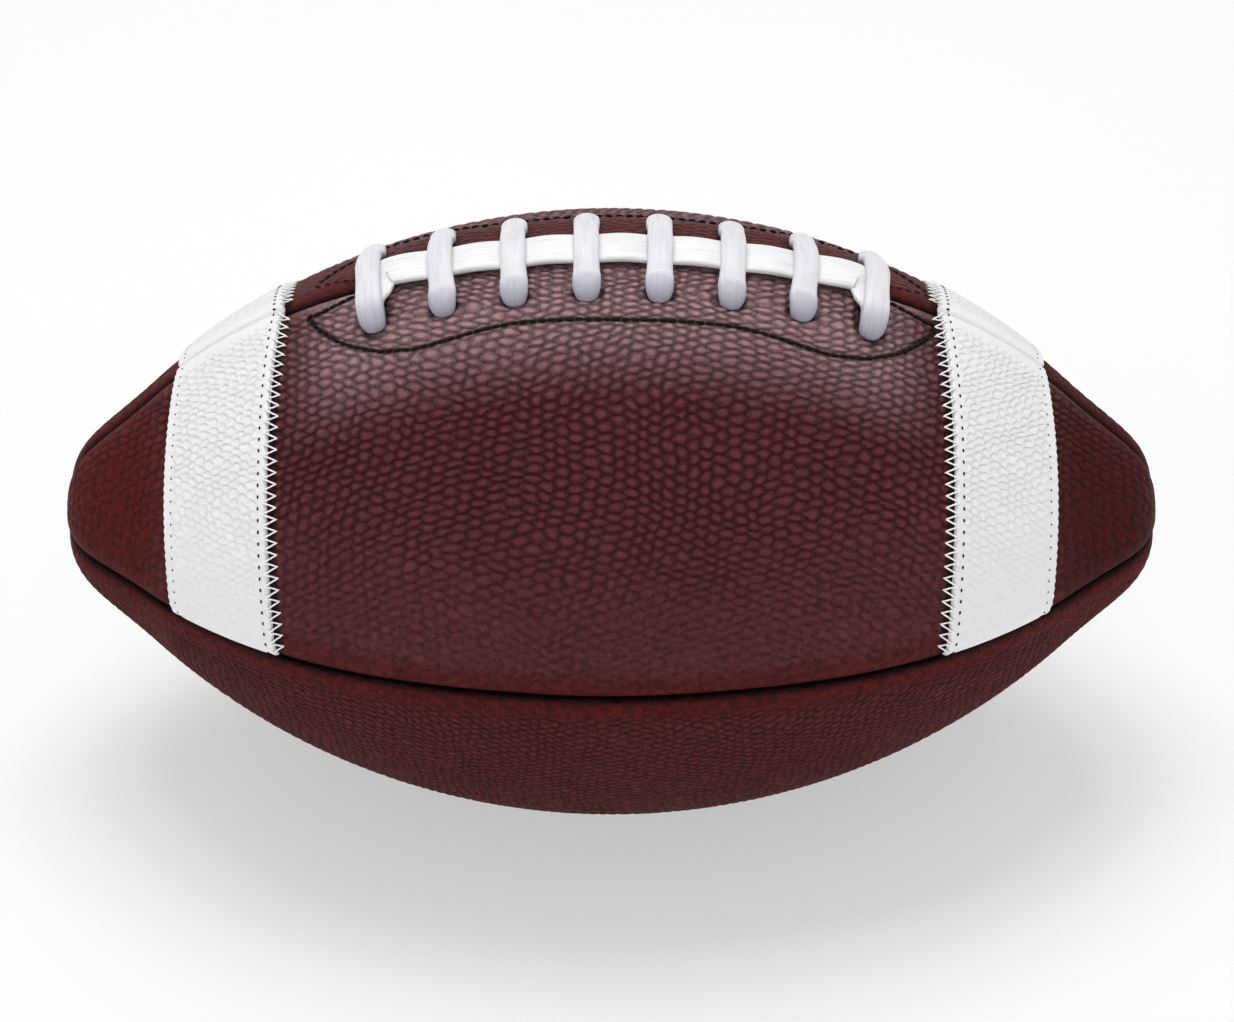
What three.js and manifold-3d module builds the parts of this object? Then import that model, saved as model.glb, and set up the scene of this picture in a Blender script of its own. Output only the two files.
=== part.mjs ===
// American football, laces up: four leather panels sewn together inside out, two of them laced,
// with cloth linings and an air bladder inside. Millimetres, +Z up, X along the ball.

import * as THREE from 'three';
import { mergeVertices } from 'three/addons/utils/BufferGeometryUtils.js';
import Module from 'manifold-3d';

const wasm = await Module();
wasm.setup();

// Outer form
const ballLength = 290;
const girthDiameter = 162;
const noseLength = 25;
const noseDiameter = 72;
const noseShoulder = 24;
const noseFlat = 20;
const tipOpening = 3.2;
const restFlat = 0.65;

// Panels and their turned-in seams
const panelThickness = 2;
const panelCrown = 1;
const endSquareness = 0.075;
const squareFrom = 20;
const squareTo = 115;
const seamRoundWidth = 6;
const seamRoundDepth = 2.2;
const seamAllowance = 0.7;
const seamGap = 0.4;

// Layers inside the panels
const layerGap = 0.35;
const liningThickness = 0.8;
const facingThickness = 1.2;
const bladderThickness = 0.8;
const tongueThickness = 1.2;

// White stripes sewn on the upper panels
const stripeFromTip = 32;
const stripeWidth = 28;
const stripeThickness = 0.9;
const stripeBow = 2.4;
const stripeSeamMargin = 1.7;

// Lacing
const laceCount = 8;
const lacePitch = 18.2;
const lacingShift = 3;
const laceWidth = 6.7;
const strandWidth = 10;
const laceHoleWidth = 5.4;
const laceThickness = 3;
const laceInsideThickness = 2;
const laceHoleOffset = 16.5;
const laceLean = 0.015;
const strandHoleOffset = 11.3;
const laceHoleClearance = 0.45;
const laceGap = 0.35;
const laceBend = 3;
const laceTail = 9;

// Pieces round the lacing
const facingReach = 27;
const facingEndMargin = 15;
const facingTipWidth = 3;
const tongueWidth = 34;
const tongueEndMargin = 16;

// Inflation valve
const valveStemDiameter = 9;
const valveBoreDiameter = 4;
const valveFlangeDiameter = 14;
const valveFlangeThickness = 1.2;
const valveRecess = 0.5;
const valveHoleClearance = 0.5;
const plugClearance = 0.25;
const plugBulbDiameter = 6;
const plugBulbLength = 3;
const plugDimple = 1.2;

// Fineness
const bellySteps = 8;
const crownSteps = 4;
const noseStops = [0.27, 0.55, 0.8];
const roundSegments = 16;

const quarter = Math.PI / 2;
const halfLength = ballLength / 2;
const stripeStart = halfLength - stripeFromTip - stripeWidth;
const girthRadius = girthDiameter / 2;
const noseRadius = noseDiameter / 2;
const bellyEnd = halfLength - noseLength;
const bellyDrop = girthRadius - noseRadius;
const bellyRadius = (bellyEnd ** 2 + bellyDrop ** 2) / (2 * bellyDrop);
const bellyAngle = Math.asin(bellyEnd / bellyRadius);
const axisHeight = girthRadius - panelCrown - restFlat;

// How far the flat facets of a curved layer stand inside its curve
const crownChord = (girthRadius * Math.PI / 4 - seamRoundWidth) / crownSteps / girthRadius;
const crownSag = girthRadius * (1 - Math.cos(crownChord / 2));
const liningSag = girthRadius * (1 - Math.cos(crownChord));
const lengthSag = bellyRadius * (1 - Math.cos(bellyAngle / bellySteps / 2));

// Depths of the layers below the outside of a panel
const liningDepth = panelThickness + layerGap;
const facingDepth = panelThickness + layerGap + crownSag + lengthSag;
const flangeReach = panelCrown + seamRoundDepth + panelThickness + seamAllowance;
const underFacing = panelCrown + facingDepth + facingThickness;
const insideRun = Math.max(flangeReach, underFacing) + laceGap + laceInsideThickness / 2;
const insideBend = insideRun + laceInsideThickness + laceGap;
const tongueDepth = insideRun + laceInsideThickness / 2 + layerGap;
const laceBed = Math.max(tongueDepth + tongueThickness, insideBend + laceInsideThickness / 2) + layerGap;
const bladderDepth = liningDepth + liningThickness + layerGap + liningSag;

// The ball's profile: a belly arc and a blunt nose at each end
const noseTangent = new THREE.Vector2(Math.cos(bellyAngle), -Math.sin(bellyAngle));
const noseFoot = new THREE.Vector2(bellyEnd, noseRadius);
const noseCurve = new THREE.CubicBezierCurve(
  noseFoot,
  noseFoot.clone().addScaledVector(noseTangent, noseShoulder),
  new THREE.Vector2(halfLength, noseFlat),
  new THREE.Vector2(halfLength, 0),
);

function bellyStation(angle) {
  const drop = bellyRadius * (1 - Math.cos(angle));
  return { x: bellyRadius * Math.sin(angle), r: girthRadius - drop, nx: Math.sin(angle), nr: Math.cos(angle) };
}

function noseStation(stop, side) {
  const point = noseCurve.getPoint(stop);
  const tangent = noseCurve.getTangent(stop);
  return { x: side * point.x, r: point.y, nx: side * -tangent.y, nr: tangent.x };
}

function noseStopWhere(passed) {
  let low = 0;
  let high = 1;
  for (let step = 0; step < 40; step += 1) {
    const middle = (low + high) / 2;
    if (passed(noseCurve.getPoint(middle))) {
      high = middle;
    } else {
      low = middle;
    }
  }
  return high;
}

function stationAtX(x) {
  if (Math.abs(x) <= bellyEnd) {
    return bellyStation(Math.asin(x / bellyRadius));
  }
  return noseStation(noseStopWhere((point) => point.x >= Math.abs(x)), Math.sign(x));
}

const tipStop = noseStopWhere((point) => point.y <= tipOpening / 2);
const endStops = [...noseStops.filter((stop) => stop < tipStop), tipStop];
const bellyStations = [];
for (let step = -bellySteps; step <= bellySteps; step += 1) {
  bellyStations.push(bellyStation(bellyAngle * step / bellySteps));
}
const stations = [
  ...endStops.toReversed().map((stop) => noseStation(stop, -1)),
  ...bellyStations,
  ...endStops.map((stop) => noseStation(stop, 1)),
];

// A point of the ball: angle from the laced seam towards the rear, depth below the crown
function place(station, angle, depth) {
  const r = station.r - depth * station.nr;
  return new THREE.Vector3(station.x - depth * station.nx, r * Math.sin(angle), r * Math.cos(angle));
}

// Measures of a panel's cross-section at a station; towards the ends it grows squarer, its seams standing out
function measures(station) {
  const half = station.r * Math.PI / 4;
  const shrink = Math.min(1, half / (2 * seamRoundWidth));
  const gap = seamGap / 2;
  const round = gap + (seamRoundWidth - gap) * shrink;
  const drop = seamRoundDepth * shrink;
  const towardsEnd = THREE.MathUtils.smoothstep(Math.abs(station.x), squareFrom, squareTo);
  const square = endSquareness * station.r * towardsEnd;
  const lift = (s) => square * shrink * (1 - s / half) ** 2;
  const crown = (s) => panelCrown * shrink * (1 - s / half) ** 2 - lift(s);
  const shoulder = (s) => {
    const into = THREE.MathUtils.clamp((round - s) / (round - gap), 0, 1);
    return drop * (1 - Math.sqrt(1 - into ** 2));
  };
  const crowns = [];
  for (let step = 0; step <= crownSteps; step += 1) {
    crowns.push(round + (half - round) * step / crownSteps);
  }
  return { half, shrink, gap, round, drop, lift, crown, shoulder, crowns, wall: panelThickness * shrink };
}

// A half outline given from the seam to the panel's middle, mirrored to the other seam
function across(halfOutline, half) {
  const near = halfOutline.map(([s, depth]) => new THREE.Vector2(s - half, depth));
  const far = halfOutline.slice(0, -1).toReversed().map(([s, depth]) => new THREE.Vector2(half - s, depth));
  return [...near, ...far];
}

function section(station, centre, outline) {
  const points = outline.map((spot) => place(station, centre + spot.x / station.r, spot.y));
  const flat = outline.map((spot) => {
    const angle = spot.x / station.r;
    const reach = station.r + 2 * laceBed - spot.y;
    return new THREE.Vector2(reach * Math.sin(angle), reach * Math.cos(angle));
  });
  return { points, flat };
}

function capTriangles(flat, forward) {
  const sign = Math.sign(THREE.ShapeUtils.area(flat)) * (forward ? 1 : -1);
  return THREE.ShapeUtils.triangulateShape(flat, []).map((face) => {
    const area = THREE.ShapeUtils.area(face.map((corner) => flat[corner]));
    return Math.sign(area) === sign ? face : face.toReversed();
  });
}

// A closed solid through a row of cross-sections with the same number of points
function loft(sections) {
  const count = sections[0].points.length;
  const last = (sections.length - 1) * count;
  const corners = sections.flatMap((item) => item.points);
  const index = [];
  for (let row = 0; row < sections.length - 1; row += 1) {
    for (let spot = 0; spot < count; spot += 1) {
      const a = row * count + spot;
      const b = row * count + (spot + 1) % count;
      index.push(a, b, b + count, a, b + count, a + count);
    }
  }
  index.push(...capTriangles(sections[0].flat, false).flat());
  index.push(...capTriangles(sections.at(-1).flat, true).flat().map((corner) => corner + last));
  let volume = 0;
  for (let face = 0; face < index.length; face += 3) {
    const [a, b, c] = [0, 1, 2].map((corner) => corners[index[face + corner]]);
    volume += a.dot(b.clone().cross(c));
  }
  if (volume < 0) {
    index.reverse();
  }
  const geometry = new THREE.BufferGeometry().setFromPoints(corners);
  geometry.setIndex(index);
  geometry.computeVertexNormals();
  return geometry;
}

function toSolid(geometry) {
  const bare = geometry.clone();
  bare.deleteAttribute('normal');
  bare.deleteAttribute('uv');
  const merged = mergeVertices(bare, 1e-4);
  return new wasm.Manifold(new wasm.Mesh({
    numProp: 3,
    vertProperties: new Float32Array(merged.attributes.position.array),
    triVerts: new Uint32Array(merged.index.array),
  }));
}

function cut(geometry, cutters) {
  const solid = cutters.reduce((rest, cutter) => rest.subtract(toSolid(cutter)), toSolid(geometry));
  const mesh = solid.getMesh();
  const result = new THREE.BufferGeometry();
  result.setAttribute('position', new THREE.BufferAttribute(new Float32Array(mesh.vertProperties), 3));
  result.setIndex(new THREE.BufferAttribute(new Uint32Array(mesh.triVerts), 1));
  result.computeVertexNormals();
  return result;
}

// Leather panel: crown, rounded seam edges and the edges turned in along each seam
function panelOutline(station) {
  const m = measures(station);
  const flange = m.crown(0) + m.drop + panelThickness + seamAllowance;
  const slope = m.round - (m.round - m.gap) * Math.SQRT1_2;
  const outer = [
    [m.gap, flange],
    [m.gap, m.drop + m.crown(m.gap)],
    [slope, m.shoulder(slope) + m.crown(slope)],
    ...m.crowns.map((s) => [s, m.crown(s)]),
  ];
  const inner = [
    [m.gap + m.wall, flange],
    [m.gap + m.wall, m.drop + panelThickness + m.crown(m.gap)],
    ...m.crowns.map((s) => [s, m.crown(s) + panelThickness]),
  ];
  return [...across(outer, m.half), ...across(inner, m.half).toReversed()];
}

function panelGeometry(centre) {
  return loft(stations.map((station) => section(station, centre, panelOutline(station))));
}

// Cloth lining: lies inside a panel between the turned-in edges, and stops short of the facing
function liningGeometry(centre, lacedSide = 0) {
  const held = stations.filter((station) => measures(station).half > 2 * seamRoundWidth);
  return loft(held.map((station) => {
    const m = measures(station);
    const rows = m.crowns.filter((s, step) => step % 2 === 0);
    const clear = (spot) => spot.x * lacedSide < m.half - m.round - 1;
    const outer = across(rows.map((s) => [s, m.crown(s) + liningDepth]), m.half).filter(clear);
    const under = outer.map((spot) => new THREE.Vector2(spot.x, spot.y + liningThickness));
    return section(station, centre, [...outer, ...under.toReversed()]);
  }));
}

// White stripe: lies on the panel's outside from seam to seam, bowed towards the ball's middle at the seams
function stripeRows(m) {
  const slope = m.round - (m.round - m.gap) * Math.SQRT1_2;
  return [Math.min(stripeSeamMargin, slope), slope, ...m.crowns];
}

function stripeGeometry(centre, side) {
  const steps = 3;
  const sections = [];
  for (let step = 0; step <= steps; step += 1) {
    const x = stripeStart + stripeWidth * step / steps;
    const straight = stationAtX(side * x);
    const middle = measures(straight);
    const bow = (s) => stripeBow * (1 - s / middle.half) ** 2;
    const bowed = stripeRows(middle).map((s) => stationAtX(side * (x - bow(s))));
    const skin = (lift) => {
      const row = (station, index, way) => {
        const m = measures(station);
        const s = stripeRows(m)[index];
        return place(station, centre + way * (m.half - s) / station.r, m.crown(s) + m.shoulder(s) - lift);
      };
      const near = bowed.map((station, index) => row(station, index, -1));
      const far = bowed.slice(0, -1).map((station, index) => row(station, index, 1)).toReversed();
      return [...near, ...far];
    };
    const outline = (lift) => across(stripeRows(middle).map((s) => [s, -lift]), middle.half);
    const over = layerGap + stripeThickness;
    const { flat } = section(straight, centre, [...outline(over), ...outline(layerGap).toReversed()]);
    sections.push({ points: [...skin(over), ...skin(layerGap).toReversed()], flat });
  }
  return loft(sections);
}

// Spots on the laced side: length along the seam, distance across from it, height over the panels
function lacedFrame(along, across_, height) {
  const lean = laceLean * (along - lacingShift) * across_ / laceHoleOffset;
  const station = bellyStation((along + lean) / bellyRadius);
  const angle = across_ / station.r;
  const lift = measures(station).lift(Math.abs(across_));
  const tilt = -station.nx;
  const lengthwise = new THREE.Vector3(station.nr, tilt * Math.sin(angle), tilt * Math.cos(angle));
  const sideways = new THREE.Vector3(0, Math.cos(angle), -Math.sin(angle));
  const outward = new THREE.Vector3(station.nx, station.nr * Math.sin(angle), station.nr * Math.cos(angle));
  return { point: place(station, angle, -height - lift), lengthwise, sideways, outward };
}

const rowHalf = lacePitch * (laceCount - 1) / 2;
const laceRows = Array.from({ length: laceCount }, (item, row) => row * lacePitch - rowHalf + lacingShift);

// Slots for the lace; the front end slots also take the lengthwise strand
function slotGeometry(along, nearEdge, farEdge) {
  const width = laceHoleWidth + 2 * laceHoleClearance;
  const reach = Math.abs(farEdge - nearEdge);
  const deep = underFacing + laceThickness;
  const tool = new THREE.BoxGeometry(width, reach, 2 * deep);
  const spot = lacedFrame(along, (nearEdge + farEdge) / 2, 0);
  const turn = new THREE.Matrix4().makeBasis(spot.lengthwise, spot.sideways, spot.outward);
  return tool.applyMatrix4(turn.setPosition(spot.point));
}

const slotHalf = laceThickness / 2 + laceHoleClearance;
function laceSlots(side) {
  return laceRows.map((along, row) => {
    const shared = side < 0 && (row === 0 || row === laceCount - 1);
    const near = shared ? strandHoleOffset - slotHalf : laceHoleOffset - slotHalf;
    return slotGeometry(along, side * near, side * (laceHoleOffset + slotHalf));
  });
}

// Facing: backs the row of holes, pointed at both ends like its stitched outline
function facingGeometry(side) {
  const facingHalf = rowHalf + facingEndMargin;
  const spans = [-1, -0.93, -0.84, -0.7, -0.5, -0.25, 0, 0.25, 0.5, 0.7, 0.84, 0.93, 1];
  const start = seamRoundWidth + layerGap;
  return loft(spans.map((span) => {
    const station = bellyStation((span * facingHalf + lacingShift) / bellyRadius);
    const m = measures(station);
    const edge = facingTipWidth + (facingReach - start - facingTipWidth) * (1 - Math.abs(span) ** 4);
    const rows = [0, 1 / 3, 2 / 3, 1].map((share) => start + edge * share);
    const depth = (s) => facingDepth + m.crown(s);
    const over = rows.map((s) => new THREE.Vector2(side * s, depth(s)));
    const under = rows.map((s) => new THREE.Vector2(side * s, depth(s) + facingThickness));
    return section(station, 0, [...over, ...under.toReversed()]);
  }));
}

// Tongue: lies under the slit, between the lace and the bladder
function tongueGeometry() {
  const reach = rowHalf - tongueEndMargin;
  const spans = [-1, -0.67, -0.33, 0, 0.33, 0.67, 1];
  return loft(spans.map((span) => {
    const station = bellyStation((span * reach + lacingShift) / bellyRadius);
    const lift = measures(station).lift;
    const rows = [-1, -0.5, 0, 0.5, 1].map((share) => share * tongueWidth / 2);
    const over = rows.map((s) => new THREE.Vector2(s, tongueDepth - lift(Math.abs(s))));
    const under = over.map((spot) => new THREE.Vector2(spot.x, spot.y + tongueThickness));
    return section(station, 0, [...over, ...under.toReversed()]);
  }));
}

// Lace: one strip, out of the left front hole, along the seam, then wound back over it
function laceRoute() {
  const route = [];
  const middle = measures(bellyStation(0));
  const leather = (s) => middle.crown(Math.abs(s)) + middle.shoulder(Math.abs(s));
  const lying = (s) => laceGap + laceThickness / 2 - leather(s);
  const strandSide = strandWidth / 2 + laceGap;
  const strandHeight = lying(strandWidth / 2);
  const over = strandHeight + laceThickness + laceGap;
  const thin = laceInsideThickness;
  const full = laceThickness;
  const stop = (along, side, height, turn, thick = full, width = laceWidth) => {
    route.push({ along, side, height, turn: THREE.MathUtils.degToRad(turn), thick, width });
  };
  const inHole = (along, side, height, turn, thick = full) => {
    stop(along, side, height, turn, thick, laceHoleWidth);
  };
  const first = laceRows[0];
  const end = laceRows[laceCount - 1];
  const strandHole = strandHoleOffset;
  const strandEdge = strandHole - laceBend / 2;
  const strandTurn = strandWidth / 2 + laceBend / 2;
  const hole = laceHoleOffset;
  const holeEdge = hole - laceBend * 0.6;
  const through = (panelThickness + facingDepth + facingThickness) / 2;
  const settle = hole - laceBend;
  const halfPitch = lacePitch / 2;

  stop(first, strandHole - laceBend - laceTail, -insideRun, 180, thin);
  stop(first, -strandHole + laceBend, -insideRun, 180, thin);
  inHole(first, -strandHole + 0.5, 1 - insideRun, 180, thin);
  inHole(first, -strandHole, -through, 180);
  inHole(first, -strandHole + 0.3, -0.4, 178);
  stop(first + 0.2, -strandEdge + 0.1, lying(strandEdge), 176);
  stop(first + 0.85, -strandTurn - 0.2, lying(strandTurn), 162, full, strandWidth * 0.81);
  stop(first + 2, -strandTurn * 0.42, strandHeight, 143, full, strandWidth * 1.05);
  stop(first + 5.1, 0, strandHeight, 114, full, strandWidth * 1.08);
  stop(first + 9.5, 0, strandHeight, 90, full, strandWidth);
  for (let row = 1; row < laceCount - 1; row += 1) {
    stop(laceRows[row], 0, strandHeight, 90, full, strandWidth);
  }
  stop(end - 9.5, 0, strandHeight, 90, full, strandWidth);
  stop(end - 5.1, 0, strandHeight, 66, full, strandWidth * 1.08);
  stop(end - 2, -strandTurn * 0.42, strandHeight, 37, full, strandWidth * 1.05);
  stop(end - 0.85, -strandTurn - 0.2, lying(strandTurn), 18, full, strandWidth * 0.81);
  stop(end - 0.2, -strandEdge + 0.1, lying(strandEdge), 4);
  inHole(end, -strandHole + 0.3, -0.4, 2);
  inHole(end, -strandHole, -through, 0);
  inHole(end, -strandHole + 0.5, 1 - insideRun, 0, thin);
  stop(end, -strandHole + laceBend, -insideRun, 0, thin);
  stop(end, 0, -insideRun, 0, thin);

  for (let row = laceCount - 1; row >= 0; row -= 1) {
    const along = laceRows[row];
    const slant = row === laceCount - 1 ? 0 : 20;
    stop(along + slant / 22, settle, -insideRun, slant, thin);
    inHole(along, hole - 0.5, 1 - insideRun, slant / 4, thin);
    inHole(along, hole, -through, 0);
    inHole(along, hole - 0.3, -0.4, 0);
    stop(along, holeEdge, lying(holeEdge) - 0.2, 0);
    stop(along, strandSide + 5, lying(strandSide + 5), 0);
    stop(along, strandSide, over, 0);
    stop(along, 0, over + 0.4, 0);
    stop(along, -strandSide, over, 0);
    if (row === 0 || row === laceCount - 1) {
      stop(along, -strandEdge, lying(strandEdge) + laceThickness + 2.5 * laceGap, 0);
      stop(along, -hole + laceBend, lying(hole) + laceThickness / 2, 0);
      inHole(along, -hole + laceBend * 0.3, lying(hole) - 0.6, 0);
    } else {
      stop(along, -strandSide - 5, lying(strandSide + 5), 0);
      stop(along, -holeEdge, lying(holeEdge) - 0.2, 0);
      inHole(along, -hole + 0.3, -0.4, 0);
    }
    inHole(along, -hole, -through, 0);
    if (row === 0) {
      inHole(along, -hole - 0.5, 1 - insideRun, 0, thin);
      stop(along, -settle - 2 * laceBend, -insideRun, 0, thin);
      stop(along, -settle - 2 * laceBend - laceTail / 3, -insideRun, 0, thin);
    } else {
      const low = row === laceCount - 1 ? insideBend : insideRun;
      inHole(along, -hole + 0.5, 1 - low, 5, thin);
      stop(along - 0.9, -settle, -low, 20, thin);
      stop(along - halfPitch * 0.72, -settle * 0.28, -low, 28, thin);
      stop(along - halfPitch, 0, -(low + insideRun) / 2, 28, thin);
      stop(along - halfPitch * 1.28, settle * 0.28, -insideRun, 28, thin);
    }
  }
  return route;
}

function laceSections() {
  const spots = laceRoute().map((stop) => ({ ...stop, ...lacedFrame(stop.along, stop.side, stop.height) }));
  return spots.map((spot, step) => {
    const before = spots[Math.max(0, step - 1)].point;
    const after = spots[Math.min(spots.length - 1, step + 1)].point;
    const travel = after.clone().sub(before).normalize();
    const wide = spot.lengthwise.clone().multiplyScalar(Math.cos(spot.turn));
    wide.addScaledVector(spot.sideways, Math.sin(spot.turn));
    wide.addScaledVector(travel, -wide.dot(travel)).normalize();
    const thick = travel.clone().cross(wide);
    const a = spot.width / 2;
    const b = spot.thick / 2;
    const corner = spot.thick * 0.3;
    const flat = [
      [a, b - corner], [a - corner, b], [corner - a, b], [-a, b - corner],
      [-a, corner - b], [corner - a, -b], [a - corner, -b], [a, corner - b],
    ].map(([u, v]) => new THREE.Vector2(u, v));
    const points = flat.map((p) => spot.point.clone().addScaledVector(wide, p.x).addScaledVector(thick, p.y));
    return { points, flat, middle: spot.point };
  });
}

// Least gap of the lace to itself, between stretches that don't follow one another
function laceOwnGap(sections) {
  let least = Infinity;
  sections.forEach((one, step) => {
    sections.slice(step + 7).filter((two) => two.middle.distanceTo(one.middle) < 2 * laceWidth).forEach((two) => {
      one.points.forEach((p) => two.points.forEach((q) => {
        least = Math.min(least, p.distanceTo(q));
      }));
    });
  });
  return least;
}

// Air bladder: fills the linings, keeps clear of the turned-in edges and of the lacing
function windowed(value, full, fall) {
  return THREE.MathUtils.clamp(1 - (value - full) / fall, 0, 1);
}

function bladderSection(station, extra) {
  const m = measures(station);
  const along = Math.asin(THREE.MathUtils.clamp(station.x / bellyRadius, -1, 1)) * bellyRadius;
  const clear = Math.min(m.gap + panelThickness + seamAllowance + 2 * layerGap, m.half * 0.4);
  const rows = [0, clear, m.crowns[1], m.crowns[3]];
  const outline = [0, 1, 2, 3].flatMap((turn) => {
    const quarterRows = [...rows, ...rows.slice(1).toReversed().map((s) => 2 * m.half - s)];
    return quarterRows.map((s) => new THREE.Vector2(turn * 2 * m.half + s, Math.min(s, 2 * m.half - s)));
  });
  const points = outline.map((spot) => {
    const fromLaces = Math.min(spot.x, 8 * m.half - spot.x);
    const seamClear = flangeReach + layerGap;
    const plain = spot.y <= clear + 1e-6 ? seamClear : bladderDepth + m.crown(spot.y);
    const nose = windowed(m.half, 2 * seamRoundWidth, seamRoundWidth);
    const facing = windowed(fromLaces, facingReach + 3, 14)
      * windowed(Math.abs(along - lacingShift), rowHalf + facingEndMargin + 4, 18);
    const laced = windowed(fromLaces, laceHoleOffset + 2 * laceThickness, 14)
      * windowed(Math.abs(along - lacingShift), rowHalf + 2 * laceWidth, 18);
    const faced = facing * (underFacing + layerGap);
    const depth = Math.max(plain, faced, nose * seamClear, plain + laced * (laceBed - plain));
    return place(station, spot.x / station.r, depth + extra);
  });
  const flat = outline.map((spot) => {
    const angle = spot.x / station.r;
    return new THREE.Vector2(Math.sin(angle), Math.cos(angle));
  });
  return { points, flat };
}

function bladderSkin(extra) {
  const held = stations.filter((station) => station.r > 3 * seamRoundWidth / 2);
  const thinned = held.filter((station, step) => step % 2 === 0 || step < 3 || step > held.length - 4);
  return loft(thinned.map((station) => bladderSection(station, extra)));
}

// Valve in the middle of the rear lower panel
const valveAngle = 1.5 * quarter;
const valveOut = new THREE.Vector3(0, Math.sin(valveAngle), Math.cos(valveAngle));
const valveTurn = new THREE.Quaternion().setFromUnitVectors(new THREE.Vector3(0, 1, 0), valveOut);
const stemRadius = valveStemDiameter / 2;
const boreRadius = valveBoreDiameter / 2;
const flangeRadius = valveFlangeDiameter / 2;
const wallCurve = flangeRadius * 2 * bellyAngle / bellySteps;
const flangeTop = -(bladderDepth + liningSag + bladderThickness + wallCurve + layerGap);
const flangeBottom = flangeTop - valveFlangeThickness;

function lathe(outline) {
  return new THREE.LatheGeometry(outline.map(([r, y]) => new THREE.Vector2(r, y)), roundSegments);
}

function valveBodyGeometry() {
  return lathe([
    [boreRadius, flangeBottom], [flangeRadius, flangeBottom], [flangeRadius, flangeTop],
    [stemRadius, flangeTop], [stemRadius, -valveRecess], [boreRadius, -valveRecess], [boreRadius, flangeBottom],
  ]);
}

function valvePlugGeometry() {
  const plugRadius = boreRadius - plugClearance;
  const bulbTop = flangeBottom - plugClearance;
  const top = -valveRecess - plugClearance;
  return lathe([
    [0, bulbTop - plugBulbLength], [plugRadius, bulbTop - plugBulbLength],
    [plugBulbDiameter / 2, bulbTop - plugBulbLength / 3], [plugBulbDiameter / 2, bulbTop],
    [plugRadius, bulbTop], [plugRadius, top], [plugRadius * 0.6, top], [0, top - plugDimple],
  ]);
}

function valveHole() {
  const radius = stemRadius + valveHoleClearance;
  const tool = new THREE.CylinderGeometry(radius, radius, 4 * -flangeBottom, roundSegments);
  return tool.applyQuaternion(valveTurn).translate(...valveOut.clone().multiplyScalar(girthRadius).toArray());
}

// Ground under the ball: the two lower panels are pressed flat on it
function restBlock() {
  return new THREE.BoxGeometry(girthRadius, girthRadius, girthRadius).translate(0, 0, -axisHeight - girthRadius / 2);
}

const leather = new THREE.MeshStandardMaterial({ color: 0x47211f, roughness: 0.62, metalness: 0 });
const whiteLeather = new THREE.MeshStandardMaterial({ color: 0xe4e4e4, roughness: 0.6, metalness: 0 });
const laceWhite = new THREE.MeshStandardMaterial({ color: 0xf3f3f4, roughness: 0.55, metalness: 0 });
const cloth = new THREE.MeshStandardMaterial({ color: 0xcfc6b4, roughness: 0.95, metalness: 0 });
const backing = new THREE.MeshStandardMaterial({ color: 0x7a5a44, roughness: 0.85, metalness: 0 });
const bladderRubber = new THREE.MeshStandardMaterial({ color: 0x2c2c2e, roughness: 0.7, metalness: 0 });
const valveRubber = new THREE.MeshStandardMaterial({ color: 0x1a1a1b, roughness: 0.75, metalness: 0 });

const football = new THREE.Group();
football.name = 'football';
const ball = new THREE.Group();
ball.name = 'ball';
ball.position.z = axisHeight;
football.add(ball);

function add(name, geometry, material, parent = ball) {
  const mesh = new THREE.Mesh(geometry, material);
  mesh.name = name;
  parent.add(mesh);
}

const rearUpper = 0.5 * quarter;
const rearLower = 1.5 * quarter;
const frontLower = -1.5 * quarter;
const frontUpper = -0.5 * quarter;

add('panel_front_upper', cut(panelGeometry(frontUpper), laceSlots(-1)), leather);
add('panel_rear_upper', cut(panelGeometry(rearUpper), laceSlots(1)), leather);
add('panel_front_lower', cut(panelGeometry(frontLower), [restBlock()]), leather);
add('panel_rear_lower', cut(panelGeometry(rearLower), [restBlock(), valveHole()]), leather);

add('lining_front_upper', liningGeometry(frontUpper, 1), cloth);
add('lining_rear_upper', liningGeometry(rearUpper, -1), cloth);
add('lining_front_lower', liningGeometry(frontLower), cloth);
add('lining_rear_lower', cut(liningGeometry(rearLower), [valveHole()]), cloth);

add('stripe_front_left', stripeGeometry(frontUpper, -1), whiteLeather);
add('stripe_front_right', stripeGeometry(frontUpper, 1), whiteLeather);
add('stripe_rear_left', stripeGeometry(rearUpper, -1), whiteLeather);
add('stripe_rear_right', stripeGeometry(rearUpper, 1), whiteLeather);

const laceRings = laceSections();
add('lace', loft(laceRings), laceWhite);
console.log(`lace to itself: ${laceOwnGap(laceRings).toFixed(2)} mm`);
add('lace_facing_front', cut(facingGeometry(-1), laceSlots(-1)), backing);
add('lace_facing_rear', cut(facingGeometry(1), laceSlots(1)), backing);
add('lace_tongue', tongueGeometry(), backing);

add('bladder', cut(bladderSkin(0), [bladderSkin(bladderThickness), valveHole()]), bladderRubber);

const valve = new THREE.Group();
valve.name = 'valve';
valve.position.copy(valveOut).multiplyScalar(girthRadius);
valve.quaternion.copy(valveTurn);
ball.add(valve);
add('valve_body', valveBodyGeometry(), valveRubber, valve);
add('valve_plug', valvePlugGeometry(), valveRubber, valve);

export default football;
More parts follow.
